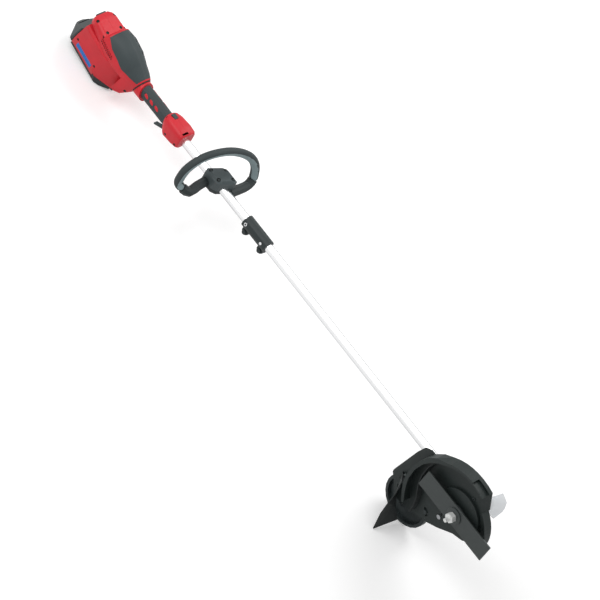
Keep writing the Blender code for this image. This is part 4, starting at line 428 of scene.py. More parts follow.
class Finish(Enum):
    """Every finish on the tool. The parts inside take the first one of their slot."""

    RED = MouldedPlastic("Red plastic", "red_plastic", (0.64, 0.020, 0.032), (0.68, 0.06, 0.07),
                         (0.34, 0.50), 1300.0, 0.000022, 0.35, coat=0.05)
    GREY = MouldedPlastic("Grey plastic", "grey_plastic", (0.046, 0.060, 0.063), (0.11, 0.13, 0.13),
                          (0.46, 0.60), 1100.0, 0.00005, 0.45)
    GRIP = MouldedPlastic("Soft grip", "grey_plastic", (0.046, 0.057, 0.060), (0.09, 0.10, 0.10),
                          (0.58, 0.72), 800.0, 0.00009, 0.3)
    SLEEVE = MouldedPlastic("Soft sleeve", "grey_plastic", (0.038, 0.049, 0.051), (0.08, 0.09, 0.09),
                            (0.52, 0.66), 900.0, 0.00007, 0.25)
    SLEEVE_PALE = MouldedPlastic("Pale sleeve face", "grey_plastic", (0.270, 0.345, 0.360),
                                 (0.30, 0.36, 0.37), (0.52, 0.66), 900.0, 0.00007, 0.25)
    BLACK = MouldedPlastic("Black plastic", "black_plastic", (0.026, 0.034, 0.035), (0.07, 0.08, 0.08),
                           (0.42, 0.56), 1200.0, 0.00004, 0.45)
    GUARD = MouldedPlastic("Guard plastic", "guard_black", (0.018, 0.025, 0.024), (0.06, 0.07, 0.07),
                           (0.44, 0.58), 1000.0, 0.00005, 0.6)
    RUBBER = MouldedPlastic("Flap rubber", "rubber", (0.020, 0.024, 0.024), (0.05, 0.05, 0.05),
                            (0.60, 0.78), 700.0, 0.00008, 0.4)
    # Lighter than the black plastic: a painted sheen, standing in for the highlight on the clamp cap's top,
    # that lightens its sides too
    CLAMP = MouldedPlastic("Clamp plastic", "black_plastic", (0.070, 0.087, 0.091), (0.12, 0.14, 0.14),
                           (0.38, 0.52), 1200.0, 0.00004, 0.45)
    # Near-black painted shade for the walls of recesses, slots and sockets, and for the sheet behind the
    # vents
    RECESS = MouldedPlastic("Recess black", "black_plastic", (0.006, 0.007, 0.007), (0.01, 0.01, 0.01),
                            (0.60, 0.75), 1200.0, 0.00004, 0.1)
    CAST = MouldedPlastic("Coated casting", "cast_metal", (0.040, 0.045, 0.047), (0.16, 0.16, 0.165),
                          (0.40, 0.58), 600.0, 0.00010, 0.7)
    WRAP = MouldedPlastic("Cell wrap", "cell_wrap", (0.07, 0.20, 0.50), (0.20, 0.32, 0.60),
                          (0.30, 0.40), 400.0, 0.00002, 0.2)
    # The tube's colour darkens towards its edges as seen from the camera: painted shade
    TUBE = DrawnMetal("Drawn tube", "tube", (0.93, 0.935, 0.94), (0.66, 0.67, 0.68), (0.16, 0.34),
                      fade=(-0.3, 1.2), rim=True)
    BRIGHT = DrawnMetal("Bright steel", "bright", (0.86, 0.87, 0.88), (0.70, 0.71, 0.72), (0.14, 0.32),
                        (900.0, 60.0, 900.0))
    STEEL = DrawnMetal("Plain steel", "steel", (0.46, 0.47, 0.49), (0.33, 0.34, 0.35), (0.28, 0.46),
                       (700.0, 120.0, 700.0))
    ALUMINIUM = DrawnMetal("Machined aluminium", "aluminium", (0.72, 0.73, 0.74), (0.58, 0.59, 0.60),
                           (0.30, 0.46), (600.0, 600.0, 600.0))
    BRONZE = DrawnMetal("Bronze liner", "bronze", (0.56, 0.38, 0.18), (0.42, 0.28, 0.13), (0.32, 0.50))
    BLADE = DrawnMetal("Blacked blade steel", "blade_steel", (0.036, 0.044, 0.043), (0.050, 0.058, 0.057),
                       (0.38, 0.56), (900.0, 900.0, 40.0), 0.000010, metallic=0.25)
    ZINC = DrawnMetal("Zinc plate", "bright", (0.82, 0.83, 0.82), (0.66, 0.67, 0.66), (0.40, 0.55),
                      (500.0, 500.0, 500.0), 0.000006, metallic=0.45)
    CLEAR = FrostedPlastic("Milky plastic", "clear_plastic", (0.93, 0.94, 0.95), clearness=0.25)
    FILM = BlankFilm("Blank label", "grey_plastic", (0.012, 0.13, 0.48), (0.03, 0.21, 0.60))


@cache
def made(finish: Finish) -> Material:
    """Returns a finish's material, made once."""
    return finish.value.make()


def paint(piece: Object, finish: Finish) -> Object:
    """Gives a new piece its finish all over and returns the piece."""
    piece.data.materials.clear()
    piece.data.materials.append(made(finish))
    return piece


# The bench

def leave_all() -> None:
    """Deselects every object."""
    bpy.ops.object.select_all(action="DESELECT")


def active() -> Object:
    """Returns the object that an operator has just added."""
    return bpy.context.view_layer.objects.active


def pick(*pieces: Object) -> None:
    """Selects only these pieces, the last one active."""
    leave_all()
    for piece in pieces:
        piece.select_set(True)
    bpy.context.view_layer.objects.active = pieces[-1]


@contextmanager
def edit_mode(piece: Object, action: str = "SELECT") -> Iterator[None]:
    """Holds a piece in edit mode.

    Args:
        piece: The piece.
        action: What is done to its whole selection first.

    Yields:
        Nothing, while the piece can be edited.
    """
    pick(piece)
    bpy.ops.object.mode_set(mode="EDIT")
    bpy.ops.mesh.select_all(action=action)
    yield
    bpy.ops.object.mode_set(mode="OBJECT")


def settle(piece: Object, place: Matrix) -> Object:
    """Puts a piece in its place, and moves its place, turn and size into its mesh.

    Args:
        piece: The piece.
        place: Its place, turn and size in the world.

    Returns:
        The piece.
    """
    piece.matrix_world = place
    pick(piece)
    bpy.ops.object.transform_apply(location=True, rotation=True, scale=True)
    return piece


def apply_modifier(piece: Object, kind: str, **settings: object) -> None:
    """Adds a modifier and applies it.

    Args:
        piece: The piece.
        kind: The modifier's type.
        settings: The modifier's properties.
    """
    modifier = piece.modifiers.new(kind.title(), kind)
    for name, value in settings.items():
        setattr(modifier, name, value)
    pick(piece)
    bpy.ops.object.modifier_apply(modifier=modifier.name)


def smooth(piece: Object, angle: float = SMOOTH_TURN) -> Object:
    """Shades a piece smooth, with flat faces kept flat.

    Args:
        piece: The piece.
        angle: The sharpest turn that stays smooth.

    Returns:
        The piece.
    """
    pick(piece)
    bpy.ops.object.shade_smooth_by_angle(angle=angle)
    apply_modifier(piece, "WEIGHTED_NORMAL", keep_sharp=True, weight=FACE_WEIGHT)
    return piece


def aim(frame_of: Matrix, at: Point, towards: Point) -> Matrix:
    """Finds the place of a fitting whose own Z points out of the surface.

    Args:
        frame_of: The frame that the point is given in.
        at: The point.
        towards: The way out, in the same frame.

    Returns:
        The fitting's place in the world.
    """
    turn = Vector((0, 0, 1)).rotation_difference(Vector(towards).normalized())
    return frame_of @ Matrix.Translation(at) @ turn.to_matrix().to_4x4()


def body_of(node: str) -> str:
    """Returns the body that a CAD node rides on."""
    return frame["nodes"][node]["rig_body"]


def closed_copy(node: str, name: str) -> Object:
    """Copies a CAD node and closes its seams.

    Args:
        node: The CAD node.
        name: The copy's name.

    Returns:
        The copy, at rest in the world.
    """
    pick(frame["nodes"][node])
    bpy.ops.object.duplicate()
    copy = active()
    copy.name = name
    copy.data.name = name
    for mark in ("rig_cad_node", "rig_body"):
        del copy[mark]
    copy.parent = None
    with edit_mode(copy):
        bpy.ops.mesh.remove_doubles(threshold=WELD_GAP)
        bpy.ops.mesh.dissolve_limited(angle_limit=FLAT_TURN)
    bpy.ops.mesh.customdata_custom_splitnormals_clear()
    return copy


def carve(piece: Object, *cutters: Object) -> None:
    """Cuts recesses out of a piece, and clears the cutters away.

    Args:
        piece: The piece.
        cutters: Closed shapes, each with the finish of the recess it leaves, the near-black painted recess
            shade.
    """
    for cutter in cutters:
        apply_modifier(piece, "BOOLEAN", operation="DIFFERENCE", solver="EXACT", object=cutter,
                       material_mode="TRANSFER")
        bpy.data.objects.remove(cutter, do_unlink=True)


def slice_off(piece: Object, at: Point, away: Point) -> None:
    """Cuts a piece along a plane, drops the outer part and closes the cut.

    Args:
        piece: The piece.
        at: A point on the plane.
        away: The plane's normal, on the side that is dropped.
    """
    with edit_mode(piece):
        bpy.ops.mesh.bisect(plane_co=at, plane_no=away, use_fill=True, clear_outer=True)


def round_edges(piece: Object, width: float, shortest: float) -> None:
    """Rounds the long sharp outer edges of a piece.

    Args:
        piece: The piece.
        width: Width of the rounded edge.
        shortest: Length of the shortest edge that is rounded.
    """
    with edit_mode(piece, "DESELECT"):
        bpy.ops.mesh.select_mode(type="EDGE")
        shape = bmesh.from_edit_mesh(piece.data)
        for edge in shape.edges:
            if edge.is_manifold and edge.calc_length() > shortest:
                edge.select = edge.calc_face_angle_signed(0.0) > SHARP_TURN
        shape.select_flush(True)
        bmesh.update_edit_mesh(piece.data)
        bpy.ops.mesh.bevel(offset=width, segments=2, affect="EDGES", clamp_overlap=True)
        bpy.ops.mesh.select_mode(type="VERT")


def hang(piece: Object, body: str, finish: Finish, *nodes: str) -> Object:
    """Makes a finished piece ride on its body.

    Args:
        piece: The piece, in place.
        body: The CAD body.
        finish: The finish; not used.
        nodes: CAD nodes that the piece stands for.

    Returns:
        The piece.
    """
    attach(piece, body)
    if nodes:
        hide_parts(*nodes)
    return piece


def dress(node: str, finish: Finish, rounding: float = 0.0, cutters: Iterable[Object] = ()) -> Object:
    """Makes the piece that shows in place of a CAD node, with soft edges and its finish.

    Args:
        node: The CAD node.
        finish: The piece's finish.
        rounding: Width of its rounded edges, or 0.
        cutters: Shapes of the recesses in it.

    Returns:
        The piece.
    """
    piece = paint(closed_copy(node, "skin_" + node), finish)
    carve(piece, *cutters)
    if rounding:
        round_edges(piece, rounding, SHORTEST_EDGE * rounding)
    return hang(smooth(piece), body_of(node), finish, node)


def dress_all(*parts: tuple[str, Finish, float]) -> list[Object]:
    """Dresses CAD nodes, each given with its finish and the width of its rounded edges."""
    return [dress(*part) for part in parts]


def block(name: str, place: Matrix, size: Point, finish: Finish, rounding: float = 0.0) -> Object:
    """Models a small block.

    Args:
        name: The block's name.
        place: Its middle and turn.
        size: Its three sizes.
        finish: Its finish.
        rounding: Radius of its edges, or 0 for a cutter.

    Returns:
        The block.
    """
    leave_all()
    bpy.ops.mesh.primitive_cube_add(size=1.0)
    piece = active()
    piece.name = name
    settle(piece, place @ Matrix.Diagonal((*size, 1.0)))
    if rounding:
        with edit_mode(piece):
            bpy.ops.mesh.bevel(offset=rounding, segments=3, affect="EDGES")
    return paint(piece, finish)


def plug(name: str, place: Matrix, radius: float, depth: float, sides: int = ROUND_SIDES) -> Object:
    """Models a round or many-sided cutter, half of it under the surface.

    Args:
        name: The cutter's name.
        place: The point on the surface and the way out.
        radius: Its radius.
        depth: How deep it reaches.
        sides: How many sides it has.

    Returns:
        The cutter.
    """
    leave_all()
    bpy.ops.mesh.primitive_cylinder_add(vertices=sides, radius=radius, depth=2 * depth)
    piece = active()
    piece.name = name
    # The cutter carries the near-black painted shade that the walls of its recess take
    return paint(settle(piece, place), Finish.RECESS)


@dataclass
class SocketScrew:
    """A screw with a domed head and a six-sided socket, modelled once and copied to its places."""

    name: str
    radius: float
    height: float
    finish: Finish = Finish.BLACK
    sink_radius: float = 0.0
    sink_depth: float = 0.0
    seat: float = 0.0
    dome: float = 0.35
    socket_width: float = 0.52
    socket_depth: float = 0.60
    model: Object | None = None

    def build(self) -> Object:
        """Models the head, with its rounded rim and its socket.

        Returns:
            The head, standing on the origin.
        """
        leave_all()
        bpy.ops.mesh.primitive_cylinder_add(vertices=ROUND_SIDES, radius=self.radius, depth=self.height)
        head = active()
        head.name = self.name
        with edit_mode(head, "DESELECT"):
            shape = bmesh.from_edit_mesh(head.data)
            max(shape.faces, key=lambda face: face.calc_center_median().z).select_set(True)
            bmesh.update_edit_mesh(head.data)
            bpy.ops.mesh.bevel(offset=self.height * self.dome, segments=3, affect="EDGES")
        top = Matrix.Translation((0, 0, self.height / 2))
        # The socket's walls take the near-black painted recess shade
        carve(head, plug("socket", top, self.radius * self.socket_width, self.height * self.socket_depth, 6))
        head.data.materials[0] = made(self.finish)
        return smooth(head)

    def sinks(self, places: list[Matrix]) -> list[Object]:
        """Makes the cutters of the round sinks at these places, which paint the sinks with near-black recess
        shade.
        """
        return [plug("sink", place, self.sink_radius, self.sink_depth) for place in places]

    def drive(self, stem: str, places: list[Matrix], body: str) -> list[Object]:
        """Copies the screw to its places.

        Args:
            stem: What the copies' names begin with.
            places: The points on the surface and the ways out.
            body: The CAD body that they ride on.

        Returns:
            The copies.
        """
        if self.model is None:
            self.model = self.build()
        copies = []
        for number, place in enumerate(places, 1):
            pick(self.model)
            bpy.ops.object.duplicate()
            copy = active()
            copy.name = f"{stem}_{number}"
            settle(copy, place @ Matrix.Translation((0, 0, self.height / 2 - self.seat)))
            copies.append(hang(copy, body, self.finish))
        return copies

    def clear(self) -> None:
        """Takes the pattern away once its copies are made."""
        bpy.data.objects.remove(self.model, do_unlink=True)


# Sub-assemblies

@dataclass
class PowerHead:
    """The red motor housing with its grey cover, vents, screws and neck."""

    screws: tuple[tuple[Point, Point], ...] = (
        ((-0.1905, 0.0255, 0.0105), (-0.36, 0.52, 0.77)),
        ((-0.1560, 0.0205, 0.0143), (0.0, 0.0, 1.0)),
        ((-0.0460, 0.0335, -0.0665), (0.18, 0.98, 0.0)),
        ((-0.0225, 0.0280, -0.0300), (0.25, 0.97, 0.0)))
    cover_slots: tuple[Point, ...] = ((-0.1245, 0.0205, 0.0378), (-0.1080, 0.0222, 0.0384),
                                      (-0.0920, 0.0222, 0.0381), (-0.0765, 0.0210, 0.0367))
    slot_out: Point = (0.0, 0.55, 0.83)
    slot_size: Point = (0.0085, 0.0030, 0.0040)
    vent_span: Span = (-0.148, -0.100)
    vent_count: int = 9
    vent_rise: float = 0.0050
    vent_slant: float = math.radians(-28.0)
    rib_steps: Span = (-0.00195, 0.00195)
    rib_size: Point = (0.0036, 0.0030, 0.0010)
    rib_depth: float = 0.0016
    mouth_steps: tuple[float, ...] = (-0.0039, 0.0, 0.0039)
    mouth_size: Point = (0.0036, 0.0070, 0.0028)
    screen_size: Point = (0.0620, 0.0008, 0.0130)
    screen_depth: float = 0.0046
    flanks: tuple[Span, ...] = ((-0.150, 0.0372), (-0.144, 0.0385), (-0.115, 0.0415), (-0.079, 0.0400))

    def build(self) -> list[Object]:
        """Builds the housing halves, the cover and their screws.

        Returns:
            The pieces.
        """
        driver = SocketScrew("housing_screw", radius=0.0032, height=0.0022, sink_radius=0.0040,
                             sink_depth=0.0030, seat=0.0030)
        pieces = []
        for side in Side:
            places = [aim(HEAD, side.mirrored(at), side.mirrored(out)) for at, out in self.screws]
            cutters = [*driver.sinks(places), self.build_vent_cutter(side)]
            pieces.append(dress(f"housing_{side.label()}", Finish.RED, 0.0007, cutters))
            pieces.extend(driver.drive(f"housing_screw_{side.label()}", places, "shaft"))
        driver.clear()
        # The slots' walls take the near-black painted recess shade
        slots = [block("cover_slot", aim(HEAD, at, self.slot_out), self.slot_size, Finish.RECESS)
                 for at in self.cover_slots]
        pieces.append(dress("motor_cover", Finish.GREY, 0.0006, slots))
        # The black ring round the neck is mostly painted shade: it stands for the shadowed front end of the
        # grey cover, curving in between the cover and the red collar
        pieces.append(dress("neck_cuff", Finish.BLACK, 0.0004))
        for side in Side:
            pieces.extend(self.build_vents(side))
        return pieces

    def flank(self, station: float) -> float:
        """Returns the housing's half width at a station."""
        for (start, first), (end, last) in zip(self.flanks, self.flanks[1:]):
            if station <= end:
                return first + (last - first) * (station - start) / (end - start)
        return self.flanks[-1][1]

    def vent_blocks(self, side: Side, steps: tuple[float, ...], depth: float, size: Point, finish: Finish,
                    rounding: float = 0.0) -> Object:
        """Models the same small blocks in every vent, joined in one.

        Args:
            side: The side.
            steps: How far each block of a vent lies above the vent's middle.
            depth: How far they lie under the flank.
            size: Their size.
            finish: Their finish.
            rounding: Radius of their edges, or 0 for a cutter.

        Returns:
            The joined blocks.
        """
        gap = (self.vent_span[1] - self.vent_span[0]) / (self.vent_count - 1)
        blocks = []
        for index in range(self.vent_count):
            for step in steps:
                station = self.vent_span[0] + gap * index + step * math.tan(self.vent_slant)
                at = side.mirrored((station, self.flank(station) - depth, self.vent_rise + step))
                blocks.append(block("vent_block", HEAD @ Matrix.Translation(at), size, finish, rounding))
        pick(*blocks)
        bpy.ops.object.join()
        return blocks[-1]

    def build_vent_cutter(self, side: Side) -> Object:
        """Builds the cutter that opens each vent to three wider mouths, darkened by painted recess shade."""
        return self.vent_blocks(side, self.mouth_steps, 0.0, self.mouth_size, Finish.RECESS)

    def build_vents(self, side: Side) -> list[Object]:
        """Builds the red ribs that part each vent in three, and the near-black sheet of painted shade behind
        them.

        Args:
            side: The side.

        Returns:
            The pieces.
        """
        ribs = self.vent_blocks(side, self.rib_steps, self.rib_depth, self.rib_size, Finish.RED, 0.0002)
        ribs.name = "vent_ribs_" + side.label()
        first, last = self.vent_span
        at = side.mirrored(((first + last) / 2, self.flank(first) - self.screen_depth, self.vent_rise))
        # A near-black sheet behind the vents: painted shade where the inside of the housing lies in shadow
        shade_sheet = block("vent_screen_" + side.label(), HEAD @ Matrix.Translation(at), self.screen_size,
                       Finish.RECESS, 0.0003)
        return [hang(smooth(ribs), "shaft", Finish.RED), hang(smooth(shade_sheet), "shaft", Finish.RECESS)]


@dataclass
class Battery:
    """The battery pack: red case, black base, rear cap with its carrying slot, and latch."""

    screws: tuple[Point, ...] = ((-0.1860, 0.0420, -0.0690), (-0.1120, 0.0420, -0.0670))
    label_middle: Point = (-0.1495, 0.0396, -0.0838)
    label_size: Point = (0.0620, 0.0180, 0.0006)
    label_slope: float = math.radians(12.6)
    cap_span: Span = (-0.2290, -0.1963)
    cap_half_width: float = 0.0420
    cap_top: Span = (-0.0810, -0.0280)
    cap_foot: Span = (-0.0900, -0.1060)
    cap_nose: Span = (0.0080, 0.0280)
    cap_floor_half_width: float = 0.0352
    cap_side_start: float = -0.0730
    cap_rounding: float = 0.0030
    cap_shortest_edge: float = 0.0060
    carry_slot: Point = (0.0060, 0.0360, 0.0220)
    carry_slot_start: float = 0.0085

    def build(self) -> list[Object]:
        """Builds the pack.

        Returns:
            The pieces.
        """
        driver = SocketScrew("pack_screw", radius=0.002788, height=0.0018, sink_radius=0.0034,
                             sink_depth=0.0022, seat=0.0022)
        places = [aim(HEAD, side.mirrored(at), side.out()) for side in Side for at in self.screws]
        pieces = [dress("battery_case", Finish.RED, 0.0012, driver.sinks(places))]
        pieces.extend(driver.drive("pack_screw", places, "battery"))
        driver.clear()
        pieces.append(dress("battery_base", Finish.BLACK, 0.0015))
        pieces.append(self.build_rear_cap())
        pieces.append(dress("battery_latch", Finish.BLACK, 0.0006))
        pieces.extend(self.build_label(side) for side in Side)
        return pieces

    def build_rear_cap(self) -> Object:
        """Models the rear cap: a wedge with a sloping top, a cut-away heel and the carrying slot.

        Returns:
            The cap.
        """
        rear, front = self.cap_span
        top, foot = self.cap_top[1], self.cap_foot[1]
        length, drop = front - rear, top - self.cap_top[0]
        middle = Matrix.Translation(((front + rear) / 2, 0.0, (top + foot) / 2))
        cap = block("rear_cap", middle, (length, 2 * self.cap_half_width, top - foot), Finish.BLACK)
        slice_off(cap, (front, 0, top), (-drop, 0, length))
        slice_off(cap, (front, 0, foot), (foot - self.cap_foot[0], 0, -length))
        sweep = self.cap_half_width - self.cap_nose[0]
        tuck = self.cap_floor_half_width - self.cap_half_width
        for side in Side:
            slice_off(cap, side.mirrored((rear, self.cap_nose[0], 0)),
                      side.mirrored((-sweep, self.cap_nose[1], 0)))
            slice_off(cap, side.mirrored((0, self.cap_half_width, self.cap_side_start)),
                      side.mirrored((0, self.cap_side_start - foot, tuck)))
        round_edges(cap, self.cap_rounding, self.cap_shortest_edge)
        start = self.carry_slot_start
        slot = aim(Matrix(), (rear + start, 0, self.cap_top[0] + start * drop / length), (-drop, 0, length))
        # The carrying slot's walls take the near-black painted recess shade
        carve(cap, block("carry_slot", slot, self.carry_slot, Finish.RECESS))
        return hang(smooth(settle(cap, HEAD)), "battery", Finish.BLACK, "battery_rear_cap")

    def build_label(self, side: Side) -> Object:
        """Builds the blank label on one side of the case.

        Args:
            side: The side.

        Returns:
            The label.
        """
        out = Vector((0.0, side.value * math.cos(self.label_slope), -math.sin(self.label_slope)))
        along = Vector((1, 0, 0))
        turn = Matrix((along, out.cross(along), out)).transposed().to_4x4()
        place = HEAD @ Matrix.Translation(side.mirrored(self.label_middle)) @ turn
        label = block(f"pack_label_{side.label()}", place, self.label_size, Finish.FILM, 0.0002)
        return hang(smooth(label), "battery", Finish.FILM)


@dataclass
class Grip:
    """The soft rear grip, its red collar and the red ovals that show through it."""

    notch: Point = (-0.1745, 0.0130, 0.0190)
    notch_out: Point = (0.0, 0.55, 0.83)
    notch_size: Point = (0.0040, 0.0050, 0.0050)

    def build(self) -> list[Object]:
        """Builds the grip.

        Returns:
            The pieces.
        """
        places = [aim(TOOL, side.mirrored(self.notch), side.mirrored(self.notch_out)) for side in Side]
        # The notches' walls take the near-black painted recess shade
        notches = [block("notch", place, self.notch_size, Finish.RECESS) for place in places]
        return [dress("grip_core", Finish.RED, 0.0003, notches), dress("grip_sleeve", Finish.GRIP, 0.0003)]


@dataclass
class TriggerHousing:
    """The red housing in front of the grip, with trigger and lock-out button."""

    slot: Point = (-0.0096, -0.0070, 0.0270)
    slot_out: Point = (0.2, 0.0, 0.98)
    slot_size: Point = (0.0050, 0.0170, 0.0080)
    notch: Point = (-0.0705, 0.0160, 0.0235)
    notch_out: Point = (-0.27, 0.56, 0.78)
    notch_size: Point = (0.0040, 0.0050, 0.0040)
    screws: tuple[Point, ...] = ((-0.0455, 0.0262, -0.0090), (-0.0110, 0.0250, -0.0060))

    def build(self) -> list[Object]:
        """Builds the halves, the lever and the button.

        Returns:
            The pieces.
        """
        driver = SocketScrew("grip_screw", radius=0.002706, height=0.0018, sink_radius=0.0033,
                             sink_depth=0.0022, seat=0.0021)
        pieces = []
        for side in Side:
            places = [aim(TOOL, side.mirrored(at), side.out()) for at in self.screws]
            notch = aim(TOOL, side.mirrored(self.notch), side.mirrored(self.notch_out))
            # The slot's and notch's walls take the near-black painted recess shade
            cutters = [block("slot", aim(TOOL, self.slot, self.slot_out), self.slot_size, Finish.RECESS),
                       block("notch", notch, self.notch_size, Finish.RECESS), *driver.sinks(places)]
            pieces.append(dress(f"trigger_housing_{side.label()}", Finish.RED, 0.0007, cutters))
            pieces.extend(driver.drive(f"grip_screw_{side.label()}", places, "shaft"))
        driver.clear()
        pieces.append(dress("trigger_lever", Finish.GREY, 0.0006))
        pieces.append(dress("lockout_button", Finish.GREY, 0.0010))
        return pieces


@dataclass
class LoopHandle:
    """The assist handle: soft loop, black arms and the clamp on the shaft."""

    corners: tuple[str, ...] = ("front_left", "front_right", "rear_left", "rear_right")
    station: float = 0.136
    middle: Point = (0.110, 0.0, 0.040)
    path: tuple[Point, ...] = ((-0.0350, -0.0920, 0.0020), (-0.0480, -0.0990, 0.0100),
                               (-0.0500, -0.0990, 0.0320), (-0.0500, -0.0900, 0.0610),
                               (-0.0450, -0.0500, 0.0900), (-0.0300, 0.0150, 0.0930),
                               (-0.0120, 0.0690, 0.0680), (0.0010, 0.0900, 0.0380),
                               (0.0080, 0.0945, 0.0120), (0.0137, 0.0910, -0.0034))
    flat: float = 0.0082
    flat_share: float = 0.35
    flat_edge: float = 0.0003
    flat_turn: float = 0.8
    front: Point = (0.92, -0.39, 0.0)
    sleeve_turn: float = math.radians(40.0)
    pocket_radius: float = 0.0048
    pocket_depth: float = 0.0030
    pocket_height: float = 0.0325

    def build(self) -> list[Object]:
        """Builds the handle.

        Returns:
            The pieces.
        """
        pockets = []
        for corner in self.corners:
            low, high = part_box("handle_screw_" + corner)
            head = TOOL.inverted() @ ((low + high) / 2)
            # The pockets' walls take the near-black painted recess shade
            pockets.append(plug("pocket", TOOL @ Matrix.Translation((head.x, head.y, self.pocket_height)),
                                self.pocket_radius, self.pocket_depth))
        # The clamp cap's lighter finish is a painted sheen on its top
        pieces = [dress("handle_frame", Finish.BLACK, 0.0010),
                  dress("handle_cap", Finish.CLAMP, 0.0010, pockets), self.build_sleeve()]
        for corner in self.corners:
            pieces.append(dress("handle_screw_" + corner, Finish.BLACK, 0.0003))
        return pieces

    def build_sleeve(self) -> Object:
        """Models the soft sleeve: round outside, with a flat paler face round the inside of the loop.

        Returns:
            The sleeve.
        """
        sleeve = paint(closed_copy("handle_sleeve", "soft_sleeve"), Finish.SLEEVE)
        sleeve.data.materials.append(made(Finish.SLEEVE_PALE))
        apply_modifier(sleeve, "SUBSURF", levels=2, render_levels=2)
        line = self.curve([TOOL @ Vector((self.station + x, y, z)) for x, y, z in self.path])
        centre = TOOL @ Vector(self.middle)
        for vertex in sleeve.data.vertices:
            foot, out = self.flat_way(line, centre, vertex.co)
            over = (vertex.co - foot).dot(out) - self.flat
            if over > 0:
                vertex.co -= out * over
        for face in sleeve.data.polygons:
            foot, out = self.flat_way(line, centre, face.center)
            near = (face.center - foot).dot(out) > self.flat - self.flat_edge
            if near and face.normal.dot(out) > self.flat_turn:
                face.material_index = 1
        smooth(sleeve, self.sleeve_turn)
        return hang(sleeve, body_of("handle_sleeve"), Finish.SLEEVE, "handle_sleeve")

    def flat_way(self, line: list[Vector], centre: Vector, point: Vector) -> tuple[Vector, Vector]:
        """Finds the way that the sleeve's flat looks at one place.

        Args:
            line: The sleeve's middle line.
            centre: The middle of the loop.
            point: A point of the sleeve.

        Returns:
            The foot of the point on the line, and the flat's way out there.
        """
        foot, along = self.nearest(line, point)
        inward = (centre - foot).normalized() * self.flat_share
        out = inward + (TOOL.to_3x3() @ Vector(self.front)) * (1.0 - self.flat_share ** 2) ** 0.5
        return foot, (out - along * out.dot(along)).normalized()

    @staticmethod
    def curve(points: list[Vector], steps: int = 8) -> list[Vector]:
        """Draws a smooth line through points.

        Args:
            points: The points.
            steps: Pieces between two points.

        Returns:
            The corners of the fine line.
        """
        ends = [2 * points[0] - points[1], *points, 2 * points[-1] - points[-2]]
        line = []
        for before, first, last, after in zip(ends, ends[1:], ends[2:], ends[3:]):
            for step in range(steps):
                t = step / steps
                line.append(0.5 * (2 * first + (last - before) * t
                                   + (2 * before - 5 * first + 4 * last - after) * t * t
                                   + (3 * first - before - 3 * last + after) * t * t * t))
        return [*line, points[-1]]

    @staticmethod
    def nearest(line: list[Vector], point: Vector) -> tuple[Vector, Vector]:
        """Finds the nearest point of a line of corners.

        Args:
            line: The corners.
            point: The point.

        Returns:
            The foot on the line and the line's direction there.
        """
        best = None
        for first, last in zip(line, line[1:]):
            along = last - first
            share = min(max((point - first).dot(along) / along.length_squared, 0.0), 1.0)
            foot = first + along * share
            gap = (point - foot).length
            if best is None or gap < best[0]:
                best = (gap, foot, along.normalized())
        return best[1], best[2]


@dataclass
class Shaft:
    """The two drawn tubes and the coupler that joins them."""

    def build(self) -> list[Object]:
        """Builds the tubes and the coupler."""
        return dress_all(("upper_tube", Finish.TUBE, 0.0), ("lower_tube", Finish.TUBE, 0.0),
                         ("coupler_body", Finish.BLACK, 0.0005), ("coupler_bolt", Finish.BLACK, 0.0003),
                         ("coupler_knob", Finish.BLACK, 0.0005), ("port_ring", Finish.BRIGHT, 0.0003),
                         ("spring_button", Finish.BRIGHT, 0.0006))


@dataclass
class Gearbox:
    """The coated gearbox at the front end, with its cover screws."""

    screw_circle: float = 0.0235
    screw_count: int = 4
    cover_face: float = 0.0320

    def build(self) -> list[Object]:
        """Builds the gearbox.

        Returns:
            The pieces.
        """
        pieces = dress_all(("gearbox_housing", Finish.CAST, 0.0008), ("gearbox_cover", Finish.CAST, 0.0008))
        driver = SocketScrew("cover_screw", radius=0.0033, height=0.0022, finish=Finish.STEEL)
        places = []
        for index in range(self.screw_count):
            turn = math.tau * (index + 0.5) / self.screw_count
            at = (self.screw_circle * math.cos(turn), self.cover_face, self.screw_circle * math.sin(turn))
            places.append(aim(CUTTER, at, Side.LEFT.out()))
        pieces.extend(driver.drive("cover_screw", places, body_of("gearbox_cover")))
        driver.clear()
        return pieces


@dataclass
class Cutter:
    """The blade between its flanges, with the nut and the spindle."""

    def build(self) -> list[Object]:
        """Builds the cutter."""
        return dress_all(("blade", Finish.BLADE, 0.0003), ("outer_flange", Finish.BLADE, 0.0004),
                         ("inner_flange", Finish.CAST, 0.0004), ("blade_nut", Finish.ZINC, 0.0006),
                         ("spindle", Finish.ZINC, 0.0004))


@dataclass
class Guard:
    """The black guard with its curtain, flap, bolts and milky line guide."""

    bolts: tuple[Point, ...] = ((0.0089, -0.0390, 0.0680), (-0.1450, -0.0360, 0.0300),
                                (-0.1580, -0.0360, -0.0200))
    slots: tuple[Point, ...] = ((-0.0330, -0.0460, -0.0490), (-0.0560, -0.0460, -0.0060))
    slot_size: Point = (0.0040, 0.0040, 0.0080)

    def build(self) -> list[Object]:
        """Builds the guard.

        Returns:
            The pieces.
        """
        # The slots' walls take the near-black painted recess shade
        slots = [block("slot", CUTTER @ Matrix.Translation(at), self.slot_size, Finish.RECESS)
                 for at in self.slots]
        pieces = [dress("guard_shell", Finish.GUARD, 0.0006, slots)]
        pieces += dress_all(("guard_curtain", Finish.RUBBER, 0.0004),
                            ("deflector_flap", Finish.RUBBER, 0.0004), ("line_guide", Finish.CLEAR, 0.0004))
        driver = SocketScrew("guard_bolt", radius=0.0042, height=0.0026)
        places = [aim(CUTTER, at, Side.RIGHT.out()) for at in self.bolts]
        pieces.extend(driver.drive("guard_bolt", places, body_of("guard_shell")))
        driver.clear()
        return pieces


